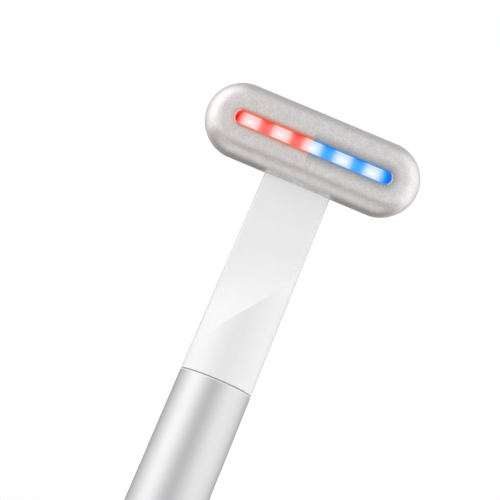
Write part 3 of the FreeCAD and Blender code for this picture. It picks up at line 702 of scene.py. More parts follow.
def grain_group():
    """Fine blasted or moulded grain: a tone round 1 and a relief, both from millimetres."""
    group, given, out = new_group(
        "surface_grain",
        [("Vector", VECTOR, None), ("Fine", VALUE, 4.0), ("Broad", VALUE, 0.15), ("Contrast", VALUE, 0.05)],
        [("Tone", VALUE), ("Relief", VALUE)],
    )
    fine = group.nodes.new("ShaderNodeTexNoise")
    broad = group.nodes.new("ShaderNodeTexNoise")
    for item, name, detail in ((fine, "Fine", 2.0), (broad, "Broad", 1.0)):
        link(group, given["Vector"], item.inputs["Vector"])
        link(group, given[name], item.inputs["Scale"])
        item.inputs["Detail"].default_value = detail
    small = minus(group, fine.outputs["Fac"], 0.5)
    large = minus(group, broad.outputs["Fac"], 0.5)
    both = plus(group, small, times(group, large, BROAD_SHARE))
    link(group, plus(group, times(group, both, given["Contrast"]), 1.0), out["Tone"])
    link(group, fine.outputs["Fac"], out["Relief"])
    return group


# The lamps behind the window, along the head, in millimetres
LAMP_PITCH = 8.15
RED_PITCH = 8.2            # the red lamps stand a little wider than the blue ones
BLUE_PITCH = 8.0
RED_MID = 0.05             # the middle lamp, as the red half shows it
BLUE_MID = 0.2             # and as the blue half shows it
LAMP_CHANGE = 1.0          # within this distance of x = 0 red spacing goes over to blue
LAMP_Z = -0.35             # the lamps glow a little below the slot's middle
LAMP_SHIFT = 0.45          # and stand this far towards -X
SPLIT_X = -0.8             # where red light turns to blue
END_GLOW = 16.75           # from here on the bar's ends fade,
END_FADE = 1.5             # this many times as fast as the distance grows
STEP_FROM = END_GLOW + 2.1    # near its tip the light deepens in a step
STEP_TO = END_GLOW + 2.4
RED_STEP = 0.42            # of this height at the red end
BLUE_STEP = 0.25           # and of this at the blue one
BLUE_KNEE = 4.6            # past this lamp distance the blue end fades more slowly,
BLUE_SLOW = 0.35           # by this factor
FAR_OFF = HEAD_HALF        # further than any lamp distance, so the red end has no knee


def slot_group():
    """Places round the light slot, in millimetres.

    Outside and Depth are the distances from the slot's outline, outwards and inwards,
    Lamp is the distance from the nearest lamp along the bar, Side is above 0 in the blue
    half, and Height is the distance from the lamps' line.
    """
    group, given, out = new_group(
        "slot_places",
        [("Vector", VECTOR, None)],
        [("Outside", VALUE), ("Depth", VALUE), ("Lamp", VALUE), ("Side", VALUE), ("Height", VALUE)],
    )
    x, y, z = axes(group, given["Vector"])
    past = number(group, "MAXIMUM", minus(group, number(group, "ABSOLUTE", x), SLOT_SPINE), 0.0)
    square = plus(group, times(group, past, past), times(group, z, z))
    outside = minus(group, number(group, "SQRT", square), SLOT_R)
    behind = number(group, "MAXIMUM", plus(group, y, HEAD_DEEP - SLOT_LIP), 0.0)
    link(group, plus(group, number(group, "MAXIMUM", outside, 0.0), behind), out["Outside"])
    link(group, number(group, "MAXIMUM", times(group, outside, -1.0), 0.0), out["Depth"])
    # Each lamp's light falls off like a cosine hill
    moved = plus(group, x, LAMP_SHIFT)
    pitch = between(group, x, -LAMP_CHANGE, LAMP_CHANGE, RED_PITCH, BLUE_PITCH)
    middle = between(group, x, -LAMP_CHANGE, LAMP_CHANGE, RED_MID, BLUE_MID)
    turns = number(group, "DIVIDE", minus(group, moved, middle), pitch)
    wave = number(group, "COSINE", times(group, turns, 2 * math.pi))
    near = plus(group, times(group, wave, -LAMP_PITCH / 4), LAMP_PITCH / 4)
    # Past the last lamp the distance only grows, up to a knee at the blue end
    reach = number(group, "ABSOLUTE", moved)
    beyond = times(group, minus(group, reach, END_GLOW), END_FADE)
    red_side = number(group, "LESS_THAN", x, 0.0)
    most = plus(group, times(group, red_side, RED_STEP - BLUE_STEP), BLUE_STEP)
    beyond = plus(group, beyond, times(group, between(group, reach, STEP_FROM, STEP_TO), most))
    slowed = plus(group, times(group, beyond, BLUE_SLOW), BLUE_KNEE * (1 - BLUE_SLOW))
    slowed = plus(group, slowed, times(group, red_side, FAR_OFF))
    beyond = number(group, "MINIMUM", beyond, slowed)
    past_last = number(group, "GREATER_THAN", reach, 2 * LAMP_PITCH)
    near = times(group, near, rest_of(group, past_last))
    link(group, number(group, "MAXIMUM", near, beyond), out["Lamp"])
    link(group, minus(group, x, SPLIT_X), out["Side"])
    link(group, number(group, "ABSOLUTE", minus(group, z, LAMP_Z)), out["Height"])
    return group


# The tent's tone by direction, in degrees from the front towards +X
TENT_WALLS = [
    (-180, 0.28), (-134, 0.75), (-114, 0.98), (-95, 1.20), (-80, 1.42), (-60, 1.48),
    (-42, 1.28), (-28, 1.03), (-14, 0.83), (0, 0.75), (16, 0.89), (30, 1.06),
    (47, 1.21), (65, 1.25), (92, 1.18), (119, 0.98), (134, 0.78), (180, 0.28),
]
# towards the floor and overhead, from straight down (0) to straight up (1)
TENT_ENDS = [
    (0.0, 0.90), (0.06, 0.86), (0.12, 0.74), (0.18, 0.54), (0.25, 0.43), (0.31, 0.53), (0.38, 0.78),
    (0.82, 0.80), (1.0, 0.55),
]
# and how far those tones take over from the walls
TENT_SHARE = [(0.0, 1.0), (0.28, 0.9), (0.38, 0.0), (0.84, 0.0), (0.98, 1.0)]
TENT_BEHIND = 0.66         # what is left of the low tones behind the wand,
BEHIND_FULL = 0.7          # from this share of the way to straight behind,
LOW_TOP = -0.16            # below this slope
LOW_FULL = -0.36
BROWN_LOW = 0.15           # between these heights the tent is a warm brown
BROWN_HIGH = 0.27


def brown(tone):
    return (tone * 1.09, tone, tone * 0.90, 1.0)


def tent_group():
    """The studio by direction: two bright sides, a dimmer front and back, plainer ends."""
    group, given, out = new_group("studio_tent", [("Direction", VECTOR, None)], [("Colour", COLOUR)])
    unit = vector_step(group, "NORMALIZE", given["Direction"])
    x, y, z = axes(group, unit.outputs["Vector"])
    around = number(group, "ARCTAN2", x, times(group, y, -1.0))
    around = between(group, around, -math.pi, math.pi, smoothly=False)
    walls = ramp(group, around, [((turn + 180) / 360, grey(tone)) for turn, tone in TENT_WALLS])
    height = between(group, z, -1.0, 1.0, smoothly=False)
    stops = []
    for place, tone in TENT_ENDS:
        stops.append((place, brown(tone) if BROWN_LOW < place < BROWN_HIGH else grey(tone)))
    ends = ramp(group, height, stops)
    share = ramp(group, height, [(place, grey(tone)) for place, tone in TENT_SHARE])
    both = blend_colour(group, share, walls, ends)
    behind = between(group, y, 0.0, BEHIND_FULL)
    low = between(group, z, LOW_FULL, LOW_TOP, 1.0, 0.0)
    dark = times(group, behind, low, 1 - TENT_BEHIND)
    link(group, blend_colour(group, dark, both, BLACK), out["Colour"])
    return group


GRAIN = grain_group()
SLOT = slot_group()
TENT = tent_group()


def use_group(tree, group, **values):
    item = tree.nodes.new("ShaderNodeGroup")
    item.node_tree = group
    for name, value in values.items():
        feed(tree, value, item.inputs[name])
    return item.outputs


# ------------------------------------------------------------------ finish helpers

RELIEF_LOW = 0.2           # the part of the relief over which the roughness changes
RELIEF_HIGH = 0.8
RELIEF_DEEP = 0.02         # the relief's depth at full strength, in millimetres


def millimetres(tree, head=False):
    """Object coordinates in millimetres, in the head's own upright frame if asked."""
    place = tree.nodes.new("ShaderNodeTexCoord")
    frame_of = tree.nodes.new("ShaderNodeMapping")
    frame_of.vector_type = "TEXTURE"
    frame_of.inputs["Scale"].default_value = (MM, MM, MM)
    if head:
        frame_of.inputs["Location"].default_value = Vector(HEAD_MID) * MM
        frame_of.inputs["Rotation"].default_value = (HEAD_LEAN, 0, 0)
    link(tree, place.outputs["Object"], frame_of.inputs["Vector"])
    return frame_of.outputs["Vector"]


def new_finish(name):
    material = bpy.data.materials.new(name)
    material.use_nodes = True
    tree = material.node_tree
    return material, tree, tree.nodes["Principled BSDF"]


def grained(tree, where, colour, **values):
    """The colour with the grain's tone on it, and the grain itself."""
    grain = use_group(tree, GRAIN, Vector=where, **values)
    return tinted(tree, colour, grain["Tone"]), grain


def texture(tree, shader, grain, low, high, bump):
    """Roughness between two values and a fine relief, both from the grain."""
    rough = between(tree, grain["Relief"], RELIEF_LOW, RELIEF_HIGH, low, high)
    link(tree, rough, shader.inputs["Roughness"])
    item = tree.nodes.new("ShaderNodeBump")
    item.inputs["Strength"].default_value = bump
    item.inputs["Distance"].default_value = RELIEF_DEEP * MM
    link(tree, grain["Relief"], item.inputs["Height"])
    link(tree, item.outputs["Normal"], shader.inputs["Normal"])


def light_up(tree, shader, colour):
    link(tree, colour, shader.inputs["Emission Color"])
    shader.inputs["Emission Strength"].default_value = 1.0


# ------------------------------------------------------------------ finishes

def plain_finish(name, colour, rough, metal=0.0, fine=3.0, contrast=0.06, bump=0.1, coat=0.0):
    """A solid-coloured moulding or metal with its grain, mottling and fine relief."""
    material, tree, shader = new_finish(name)
    tone, grain = grained(tree, millimetres(tree), colour, Fine=fine, Contrast=contrast)
    link(tree, tone, shader.inputs["Base Color"])
    texture(tree, shader, grain, rough * 0.9, rough * 1.1, bump)
    shader.inputs["Metallic"].default_value = metal
    shader.inputs["Coat Weight"].default_value = coat
    return material


GRAIN_DRAWN = (1.0, 1.0, 0.25)    # the grip's grain is four times as long up the tube
RIM_HIGHLIGHT_BAND = (0.35, 0.1)            # the painted highlight on the grip's rim starts and is full this far down
RIM_PAINTED_HIGHLIGHT = 0.3


def grip_aluminium():
    """Satin anodised aluminium with a faint grain drawn along the tube, and a painted highlight on its rim.
    """
    material, tree, shader = new_finish("satin_grip_aluminium")
    where = millimetres(tree)
    drawn = tree.nodes.new("ShaderNodeMapping")
    drawn.inputs["Scale"].default_value = GRAIN_DRAWN
    link(tree, where, drawn.inputs["Vector"])
    tone, grain = grained(
        tree, drawn.outputs["Vector"], shade(212, 212, 213), Fine=5.0, Broad=0.1, Contrast=0.05
    )
    link(tree, tone, shader.inputs["Base Color"])
    texture(tree, shader, grain, 0.22, 0.27, 0.08)
    shader.inputs["Metallic"].default_value = 1.0
    # Painted highlight: the rim under the neck glows as if it caught the light
    start, full = RIM_HIGHLIGHT_BAND
    height = axes(tree, where)[2]
    light_up(tree, shader, between(tree, height, GRIP_TOP - start, GRIP_TOP - full, 0.0, RIM_PAINTED_HIGHLIGHT))
    return material


# Painted lamp light and shade on the face, by share of reach: warm spill by red, blue spill then grey shade
# by blue
SPILL = 3.0
SPILL_UP = 0.15            # above the slot it is carried outwards by this much,
SPILL_BACK = 0.05          # less this much all round
PAINTED_WARM_SPILL = [
    (0.0, (1.0, 0.34, 0.25, 1)), (0.06, (0.94, 0.38, 0.32, 1)), (0.16, (0.93, 0.63, 0.55, 1)),
    (0.3, (0.98, 0.85, 0.79, 1)), (0.5, (0.995, 0.955, 0.94, 1)), (1.0, (1, 0.99, 0.985, 1)),
]
PAINTED_COOL_SPILL_AND_SHADE = [
    (0.0, (0.30, 0.52, 0.95, 1)), (0.06, (0.36, 0.46, 0.62, 1)), (0.16, (0.57, 0.58, 0.60, 1)),
    (0.3, (0.67, 0.68, 0.69, 1)), (0.5, (0.81, 0.82, 0.83, 1)), (0.85, (1, 1, 1, 1)),
]
UPPER_FACE = (0.4, 0.8)    # the face counts as above the slot from the first height to the second
SIDE_EDGE = 0.1            # half the width over which the face goes from red's side to blue's

# The painted light on the slot's lip: it glows in the lamps' colours
LIP_WIDE = 0.2
LIP_LAMP = (0.8, 3.2)      # lamp distances between which the glow above the slot goes
LIP_STRONG = 0.4           # from this
LIP_WEAK = 0.1             # to this
LIP_ROUND = 0.12           # and what the lip glows all round
LIP_BLUE = 0.5             # what is left of it in the blue half

# Painted lines round the slot's ends: a highlight on the lip, and a deep red glow line at the red end
LIP_TIP = (0.9, 1.5)       # they come in between these distances past the slot's spine
CATCH_PUSH = 0.12          # at the red end the painted highlight line lies this much further out
PAINTED_CATCH_LINE = [(0.02, BLACK), (0.12, WHITE), (0.25, grey(0.8)), (0.42, BLACK)]
RED_LINE = (0.06, 0.16)    # the painted deep red glow line inside it ends between these distances

# Painted light: a white glow on the head's underside, where it meets the neck
UNDERSIDE = (-9.52, -9.2)
UNDERSIDE_PAINTED_GLOW = 0.2
UNDERSIDE_GLOW_ENDS = (GRIP_R - 0.6, GRIP_R + 1.4)


def painted_spill_and_shade(tree, slot, upper, side):
    """Painted lamp light and shade as a tint of the base colour, reaching further above the slot than below
    it.
    """
    lean = minus(tree, times(tree, upper, SPILL_UP), SPILL_BACK)
    away = number(tree, "DIVIDE", minus(tree, slot["Outside"], lean), SPILL)
    return blend_colour(tree, side, ramp(tree, away, PAINTED_WARM_SPILL), ramp(tree, away, PAINTED_COOL_SPILL_AND_SHADE))


def painted_lip_glow(tree, slot, upper, side):
    """The painted light on the slot's lip, most above a lamp."""
    close = between(tree, slot["Lamp"], *LIP_LAMP, LIP_STRONG, LIP_WEAK)
    most = plus(tree, times(tree, upper, close), LIP_ROUND)
    most = times(tree, most, between(tree, slot["Side"], -SIDE_EDGE, SIDE_EDGE, 1.0, LIP_BLUE))
    glow = times(tree, between(tree, slot["Outside"], 0.0, LIP_WIDE, 1.0, 0.0), most)
    hue = blend_colour(tree, side, shade(255, 96, 60), shade(50, 130, 255))
    return blend_colour(tree, glow, BLACK, hue)


def painted_end_highlights(tree, slot, along, side, coloured, lit):
    """Painted light round both ends: a painted highlight on the lip, outside it a painted deep red glow
    line at the red one.
    """
    from_spine, full_at = LIP_TIP
    tip = between(tree, along, SLOT_SPINE + from_spine, SLOT_SPINE + full_at)
    red_end = times(tree, tip, rest_of(tree, side))
    pulled = minus(tree, slot["Outside"], times(tree, red_end, CATCH_PUSH))
    catch = times(tree, tip, ramp(tree, pulled, PAINTED_CATCH_LINE))
    lit = blend_colour(tree, catch, lit, shade(150, 148, 124))
    painted_red_glow = times(tree, red_end, between(tree, slot["Outside"], *RED_LINE, 1.0, 0.0))
    lit = blend_colour(tree, painted_red_glow, lit, shade(250, 0, 8))
    return blend_colour(tree, painted_red_glow, coloured, (0.1, 0.0, 0.0, 1)), lit


def head_aluminium():
    """Bead-blasted aluminium with painted lamp light beside the red lamps and painted shade beside the
    blue.
    """
    material, tree, shader = new_finish("blasted_head_aluminium")
    where = millimetres(tree, head=True)
    x, _, z = axes(tree, where)
    along = number(tree, "ABSOLUTE", x)
    slot = use_group(tree, SLOT, Vector=where)
    side = between(tree, slot["Side"], -SIDE_EDGE, SIDE_EDGE, smoothly=False)
    upper = between(tree, z, *UPPER_FACE)
    base, grain = grained(tree, where, shade(228, 225, 225), Fine=2.4, Broad=0.5, Contrast=0.42)
    # Painted lamp light and painted shade round the slot, tinted into the base colour
    coloured = tinted(tree, base, painted_spill_and_shade(tree, slot, upper, side))
    # Painted light: the slot's lip glows
    lit = painted_lip_glow(tree, slot, upper, side)
    # Painted highlights and a painted red glow line round the slot's ends
    coloured, lit = painted_end_highlights(tree, slot, along, side, coloured, lit)
    link(tree, coloured, shader.inputs["Base Color"])
    texture(tree, shader, grain, 0.32, 0.40, 0.25)
    shader.inputs["Metallic"].default_value = 1.0
    # Painted light: the underside above the neck glows white
    under = between(tree, z, *UNDERSIDE, UNDERSIDE_PAINTED_GLOW, 0.0)
    painted_underside_glow = times(tree, under, between(tree, along, *UNDERSIDE_GLOW_ENDS, 1.0, 0.0))
    light_up(tree, shader, blend_colour(tree, painted_underside_glow, lit, WHITE))
    return material


COLLAR_SEEN = 0.34         # the collar's painted glow as the camera sees it,
COLLAR_MIRRORED = 0.46     # and as metal mirrors it


def collar_aluminium():
    """The collar's darker aluminium, with painted light: it glows between neck and head, a little more in
    reflections.
    """
    material = plain_finish("collar_aluminium", shade(120, 119, 119), 0.4, 1.0, fine=3.0, contrast=0.2)
    tree = material.node_tree
    # Painted light: the collar glows
    ray = tree.nodes.new("ShaderNodeLightPath")
    glow = between(tree, ray.outputs["Is Glossy Ray"], 0.0, 1.0, COLLAR_SEEN, COLLAR_MIRRORED)
    light_up(tree, tree.nodes["Principled BSDF"], glow)
    return material


# Painted shade under the head: the neck's tone by the depth below its top, in millimetres, a little lighter
# lower down
NECK_DEPTH = 40
NECK_PAINTED_SHADE = [
    (0.2, 0.875), (1.2, 0.927), (2.2, 0.944), (3.7, 0.969), (6.7, 0.997), (12.6, 1.03),
    (24, 1.025), (31, 1.0),
]
CROWN_PAINTED_GLOW = 0.19          # painted light: the neck's top glows between neck and head,
CROWN_BAND = (0.05, 0.01)  # from the first of these depths below the crown to the second


def white_moulding():
    """Glossy white plastic under a clear skin, with painted shade below the head and a painted glow on its
    top.
    """
    material, tree, shader = new_finish("gloss_white_moulding")
    where = millimetres(tree)
    _, y, z = axes(tree, where)
    tone, grain = grained(tree, where, shade(244, 244, 245), Fine=0.8, Broad=0.08, Contrast=0.012)
    # Painted shade: the neck is darker towards its top, under the head
    depth = between(tree, z, NECK_TOP, NECK_TOP - NECK_DEPTH, smoothly=False)
    shadow = ramp(tree, depth, [(down / NECK_DEPTH, grey(level)) for down, level in NECK_PAINTED_SHADE])
    link(tree, tinted(tree, tone, shadow), shader.inputs["Base Color"])
    # Painted light: the neck's top glows where it rises under the head
    rise = minus(tree, z, times(tree, y, CROWN_SLOPE))
    edge = NECK_TOP + CROWN_SLOPE * BLADE_T / 2
    start, full = CROWN_BAND
    light_up(tree, shader, between(tree, rise, edge - start, edge - full, 0.0, CROWN_PAINTED_GLOW))
    texture(tree, shader, grain, 0.2, 0.24, 0.03)
    shader.inputs["Coat Weight"].default_value = 0.15
    shader.inputs["Coat Roughness"].default_value = 0.08
    return material


# The bar's colour by distance from a lamp, as a share of BAR_FAR
BAR_FAR = 5.0
BAR_TALL = 1.1             # heights count this much more than distances along the bar
BAR_RED = [
    (0.0, (255, 248, 250)), (0.1, (255, 228, 233)), (0.24, (255, 214, 218)),
    (0.4, (255, 200, 200)), (0.54, (255, 172, 168)), (0.68, (255, 128, 124)),
    (0.83, (255, 112, 108)), (0.92, (255, 52, 50)), (1.0, (252, 0, 4)),
]
BAR_BLUE = [
    (0.0, (250, 253, 255)), (0.1, (233, 245, 255)), (0.24, (216, 236, 255)),
    (0.4, (182, 220, 255)), (0.54, (146, 202, 255)), (0.68, (98, 180, 255)),
    (0.83, (72, 170, 255)), (0.92, (12, 148, 255)), (1.0, (0, 112, 245)),
]
BAR_SPLIT = 0.03           # half the width of the line between red and blue

# Its edge: pairs are the distances or heights between which an effect comes or goes
BORDER_LAMP = (0.6, 3.6)   # near a lamp the edge lights up,
BORDER_DEPTH = (0.3, 0.7)  # to this depth
LAST_DEPTH = (0.08, 0.34)  # its last line is deep red or deep blue,
LAST_SHARE = 0.85          # to this share
BAR_TIP = (0.6, 1.3)       # and purest at the tips, from these distances past the slot's spine
LOWER_HALF = (-0.6, -0.2)
DEEP_LAMP = (2.2, 3.8)     # between two lamps the upper edge is deeper in colour,
DEEP_DEPTH = (0.1, 1.2)    # to this depth
DEEP_SHARE = 0.6           # and to this share
WANE_LAMP = (1.6, 3.6)     # and the lower edge is dim
WANE_DEPTH = (0.14, 0.3)


def bar_colour(tree, slot, side):
    """The light of the five lamps as it comes through the milky bar."""
    tall = times(tree, slot["Height"], BAR_TALL)
    square = plus(tree, times(tree, slot["Lamp"], slot["Lamp"]), times(tree, tall, tall))
    far = number(tree, "DIVIDE", number(tree, "SQRT", square), BAR_FAR)
    red = ramp(tree, far, [(place, shade(*colour)) for place, colour in BAR_RED])
    blue = ramp(tree, far, [(place, shade(*colour)) for place, colour in BAR_BLUE])
    return blend_colour(tree, side, red, blue)


def bar_edge(tree, slot, side, along, z, colour):
    """The bar's lit, deep and dim edges, which give the light its wavy outline."""
    near = between(tree, slot["Lamp"], *BORDER_LAMP, 1.0, 0.0)
    inner = between(tree, slot["Depth"], *BORDER_DEPTH, 1.0, 0.0)
    border = blend_colour(tree, side, shade(255, 226, 202), shade(214, 236, 255))
    colour = blend_colour(tree, times(tree, near, inner), colour, border)
    from_spine, full_at = BAR_TIP
    tip = between(tree, along, SLOT_SPINE + from_spine, SLOT_SPINE + full_at)
    edge = blend_colour(tree, side, shade(255, 74, 52), shade(40, 140, 250))
    pure = blend_colour(tree, side, shade(250, 0, 20), shade(0, 110, 240))
    last = between(tree, slot["Depth"], *LAST_DEPTH, LAST_SHARE, 0.0)
    colour = blend_colour(tree, last, colour, blend_colour(tree, tip, edge, pure))
    lower = between(tree, z, *LOWER_HALF, 1.0, 0.0)
    deeper = times(
        tree, between(tree, slot["Lamp"], *DEEP_LAMP),
        between(tree, slot["Depth"], *DEEP_DEPTH, DEEP_SHARE, 0.0),
        rest_of(tree, lower), rest_of(tree, tip),
    )
    colour = blend_colour(tree, deeper, colour, edge)
    wane = times(
        tree, between(tree, slot["Lamp"], *WANE_LAMP), lower,
        between(tree, slot["Depth"], *WANE_DEPTH, 1.0, 0.0), rest_of(tree, tip),
    )
    dull = blend_colour(tree, side, shade(218, 138, 122), shade(110, 157, 208))
    return blend_colour(tree, wane, colour, dull)


def window_milk():
    """The lit bar: five lamps glow through it, red in one half and blue in the other."""
    material, tree, shader = new_finish("lit_milky_window")
    where = millimetres(tree, head=True)
    x, _, z = axes(tree, where)
    slot = use_group(tree, SLOT, Vector=where)
    side = between(tree, slot["Side"], -BAR_SPLIT, BAR_SPLIT, smoothly=False)
    colour = bar_colour(tree, slot, side)
    colour = bar_edge(tree, slot, side, number(tree, "ABSOLUTE", x), z, colour)
    light_up(tree, shader, colour)
    link(tree, tinted(tree, colour, (0.02, 0.02, 0.02, 1)), shader.inputs["Base Color"])
    shader.inputs["Roughness"].default_value = 0.35
    shader.inputs["Specular IOR Level"].default_value = 0.1
    return material


def lamp_finish(name, colour):
    material, tree, shader = new_finish(name)
    tone, _ = grained(tree, millimetres(tree), colour, Fine=2.0, Contrast=0.1)
    link(tree, tone, shader.inputs["Base Color"])
    light_up(tree, shader, tone)
    shader.inputs["Roughness"].default_value = 0.3
    return material


def clear_pipe():
    material, tree, shader = new_finish("clear_pilot_lens")
    tone, _ = grained(tree, millimetres(tree), shade(238, 242, 245), Fine=1.0, Contrast=0.02)
    link(tree, tone, shader.inputs["Base Color"])
    shader.inputs["Roughness"].default_value = 0.08
    shader.inputs["IOR"].default_value = 1.49
    shader.inputs["Transmission Weight"].default_value = 1.0
    return material


FINISHES = {
    "grip_metal": grip_aluminium(),
    "head_metal": head_aluminium(),
    "white_gloss": white_moulding(),
    "seal_rubber": plain_finish("grey_seal_rubber", shade(172, 172, 174), 0.6, fine=6.0, bump=0.2),
    "screw_steel": plain_finish("screw_steel", shade(150, 150, 154), 0.3, 1.0, fine=6.0),
    "socket_steel": plain_finish("socket_steel", shade(176, 176, 180), 0.28, 1.0, fine=4.0),
    "shaft_steel": plain_finish("ground_shaft_steel", shade(188, 188, 192), 0.2, 1.0, fine=8.0),
    "nickel": plain_finish("nickel_plate", shade(196, 190, 178), 0.25, 1.0),
    "bezel_chrome": plain_finish("satin_chrome", shade(208, 209, 212), 0.16, 1.0, fine=6.0, bump=0.04),
    "bearing_white": plain_finish("acetal_white", shade(226, 226, 222), 0.45),
    "carrier_black": plain_finish("carrier_black", shade(34, 34, 36), 0.5, fine=4.0, bump=0.2),
    "board_green": plain_finish("board_green", shade(24, 84, 52), 0.35, fine=2.0, coat=0.3),
    "board_white": plain_finish("board_white", shade(222, 224, 222), 0.35, fine=2.0),
    "chip_black": plain_finish("chip_black", shade(28, 28, 30), 0.4, fine=8.0, bump=0.2),
    "plug_cream": plain_finish("plug_cream", shade(228, 220, 198), 0.45),
    "lead_black": plain_finish("lead_black", shade(30, 30, 32), 0.5),
    "cell_wrap": plain_finish("cell_wrap_blue", shade(40, 92, 150), 0.35, fine=1.5),
    "heater_amber": plain_finish("heater_amber", shade(190, 118, 38), 0.3, fine=2.0, coat=0.4),
    "weight_metal": plain_finish("tungsten_grey", shade(112, 112, 116), 0.35, 1.0),
    "window_milk": window_milk(),
    "pipe_clear": clear_pipe(),
    "lamp_red": lamp_finish("lamp_red", shade(255, 60, 50)),
    "lamp_blue": lamp_finish("lamp_blue", shade(70, 140, 255)),
    "lamp_mixed": lamp_finish("lamp_mixed", shade(230, 120, 220)),
    "lamp_white": lamp_finish("lamp_white", shade(240, 244, 255)),
}

SLOTS = {
    "grip_metal": ["grip_tube"],
    "head_metal": ["head_face", "head_back", "thrust_washer"],
    "white_gloss": ["neck_shell", "end_cap", "power_button"],
    "seal_rubber": ["seam_gasket", "end_cap_seal", "friction_ring"],
    "screw_steel": ["end_cap_screws", "carrier_screws", "block_screws", "led_board_screws"],
    "socket_steel": ["usb_socket", "vibration_motor"],
    "shaft_steel": ["swivel_shaft", "motor_shaft", "retaining_clip", "stop_ring"],
    "nickel": ["battery_tabs"],
    "bezel_chrome": ["button_bezel"],
    "bearing_white": ["swivel_bush"],
    "carrier_black": ["inner_carrier", "swivel_block"],
    "board_green": ["usb_board", "main_board"],
    "board_white": ["led_board"],
    "chip_black": ["board_chips", "tact_switch", "switch_plunger", "temperature_sensor"],
    "plug_cream": ["lead_plug", "head_plug"],
    "lead_black": ["lead_bundle"],
    "cell_wrap": ["battery_cell"],
    "heater_amber": ["heater_film"],
    "weight_metal": ["eccentric_weight"],
    "window_milk": ["light_window"],
    "pipe_clear": ["light_pipe"],
    "lamp_red": ["red_leds"],
    "lamp_blue": ["blue_leds"],
    "lamp_mixed": ["centre_led"],
    "lamp_white": ["indicator_led"],
}


def dress_frame():
    """Every node of the frame takes the finish of its own slot."""
    for slot, names in SLOTS.items():
        for name in names:
            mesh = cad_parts[name].data
            if not mesh.materials:
                mesh.materials.append(None)
            for i in range(len(mesh.materials)):
                mesh.materials[i] = FINISHES[slot]


def stand_for(obj, body, node, slot, finish=None):
    obj.data.materials.clear()
    obj.data.materials.append(finish or FINISHES[slot])
    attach(obj, body)
    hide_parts(node)


# ------------------------------------------------------------------ studio

CAMERA_PLACE = (-3.107, -180.617, 80.65)
CAMERA_TURN = (106.4613, -22.0892, -5.8469)
CAMERA_LENS = 55.206
WORLD_FILL = 0.75
FLOOR_SIZE = 12              # in metres, as are the floor's place and the softboxes
FLOOR_Z = -0.0004
FLOOR_GLOW = (0.37, 0.70)    # what the camera sees on top of the floor's own light
FLOOR_NEAR = 300             # near the wand and far from it, in millimetres
FLOOR_FAR = 1500
TENT_MIDDLE = 110            # height at which the tent's level line runs
SOFTBOX_AIM = (0, 0, 0.12)
SOFTBOXES = [                # name, place, width, height and power
    ("left_softbox", (-0.60, -0.16, 0.16), 0.55, 0.70, 1.7),
    ("right_softbox", (0.60, -0.16, 0.16), 0.55, 0.70, 1.5),
    ("top_softbox", (0.0, -0.10, 0.70), 0.50, 0.50, 0.6),
]


def add_camera():
    data = bpy.data.cameras.new("camera")
    data.lens = CAMERA_LENS
    data.sensor_width = 36.0
    data.clip_start = 0.01
    data.clip_end = 20.0
    camera = bpy.data.objects.new("camera", data)
    bpy.context.collection.objects.link(camera)
    camera.location = Vector(CAMERA_PLACE) * MM
    camera.rotation_euler = [math.radians(a) for a in CAMERA_TURN]
    bpy.context.scene.camera = camera


def add_softbox(name, place, width, height, power):
    data = bpy.data.lights.new(name, "AREA")
    data.shape = "RECTANGLE"
    data.size = width
    data.size_y = height
    data.energy = power
    lamp = bpy.data.objects.new(name, data)
    bpy.context.collection.objects.link(lamp)
    lamp.location = place
    lamp.rotation_euler = (Vector(SOFTBOX_AIM) - Vector(place)).to_track_quat("-Z", "Y").to_euler()
    lamp.visible_glossy = False


def seen_straight(tree, ray):
    """1 for what the camera sees, also through the clear lens."""
    return number(tree, "MAXIMUM", ray.outputs["Is Camera Ray"], ray.outputs["Is Transmission Ray"])


def choose(tree, factor, first, second):
    """One shader or another."""
    item = tree.nodes.new("ShaderNodeMixShader")
    link(tree, factor, item.inputs[0])
    link(tree, first, item.inputs[1])
    link(tree, second, item.inputs[2])
    return item.outputs[0]


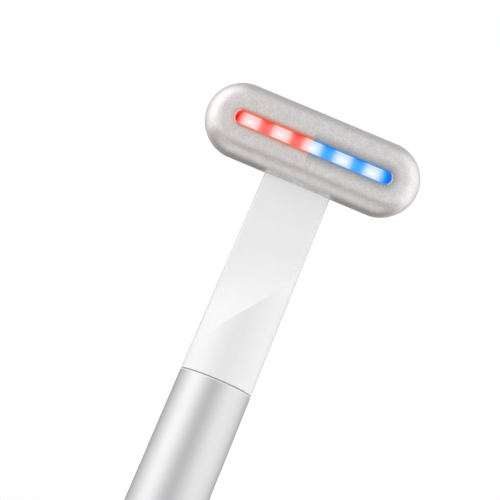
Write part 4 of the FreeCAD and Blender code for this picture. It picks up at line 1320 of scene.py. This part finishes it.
def add_floor():
    """A pale floor: it keeps the wand's shadow and turns white further away."""
    deselect()
    bpy.ops.mesh.primitive_plane_add(size=FLOOR_SIZE, location=(0, 0, FLOOR_Z))
    floor = settle("studio_floor")
    material, tree, shader = new_finish("pale_floor")
    where = millimetres(tree)
    tone, _ = grained(tree, where, shade(232, 232, 232), Fine=0.02, Broad=0.004, Contrast=0.01)
    link(tree, tone, shader.inputs["Base Color"])
    shader.inputs["Roughness"].default_value = 0.9
    shader.inputs["Specular IOR Level"].default_value = 0.0
    away = vector_step(tree, "LENGTH", where).outputs["Value"]
    glow = between(tree, away, FLOOR_NEAR, FLOOR_FAR, *FLOOR_GLOW)
    ray = tree.nodes.new("ShaderNodeLightPath")
    link(tree, times(tree, seen_straight(tree, ray), glow), shader.inputs["Emission Strength"])
    shader.inputs["Emission Color"].default_value = WHITE
    # What metal sees in the floor is the tent going on down
    lower = vector_step(tree, "SUBTRACT", where)
    lower.inputs[1].default_value = (0, 0, TENT_MIDDLE)
    tent = use_group(tree, TENT, Direction=lower.outputs["Vector"])["Colour"]
    mirrored = tree.nodes.new("ShaderNodeEmission")
    link(tree, tent, mirrored.inputs["Color"])
    surface = choose(tree, ray.outputs["Is Glossy Ray"], shader.outputs[0], mirrored.outputs[0])
    link(tree, surface, tree.nodes["Material Output"].inputs["Surface"])
    floor.data.materials.append(material)


def add_world():
    """The tent, at full tone for reflections and softer as light; the camera sees white."""
    world = bpy.data.worlds.new("studio")
    bpy.context.scene.world = world
    world.use_nodes = True
    tree = world.node_tree
    tree.nodes.clear()
    out = tree.nodes.new("ShaderNodeOutputWorld")
    ray = tree.nodes.new("ShaderNodeLightPath")
    place = tree.nodes.new("ShaderNodeTexCoord")
    tent = use_group(tree, TENT, Direction=place.outputs["Generated"])["Colour"]
    fill, white, mirrored = (tree.nodes.new("ShaderNodeBackground") for i in range(3))
    link(tree, tent, fill.inputs["Color"])
    fill.inputs["Strength"].default_value = WORLD_FILL
    white.inputs["Color"].default_value = WHITE
    link(tree, tent, mirrored.inputs["Color"])
    light = choose(tree, seen_straight(tree, ray), fill.outputs[0], white.outputs[0])
    light = choose(tree, ray.outputs["Is Glossy Ray"], light, mirrored.outputs[0])
    link(tree, light, out.inputs[0])


def main():
    dress_frame()
    face, back = head_face_piece(), head_back_piece()
    collar = collar_piece([face, back])
    for casing in (face, back):
        cut(casing, rod("shaft_way", SHAFT_WAY, NECK_TOP, HEAD_MID[2], SHAFT_STEPS))
        smooth(casing)
    stand_for(face, "head", "head_face", "head_metal")
    stand_for(back, "head", "head_back", "head_metal")
    stand_for(collar, "head", "thrust_washer", "head_metal", collar_aluminium())
    stand_for(window_piece(), "head", "light_window", "window_milk")
    stand_for(neck_piece(), "grip", "neck_shell", "white_gloss")
    stand_for(grip_piece(), "grip", "grip_tube", "grip_metal")
    stand_for(cap_piece(), "grip", "end_cap", "white_gloss")
    stand_for(button_piece(), "button", "power_button", "white_gloss")
    stand_for(bezel_piece(), "grip", "button_bezel", "bezel_chrome")
    add_floor()
    add_world()
    for softbox in SOFTBOXES:
        add_softbox(*softbox)
    add_camera()
    scene = bpy.context.scene
    scene.view_settings.view_transform = "Standard"


main()
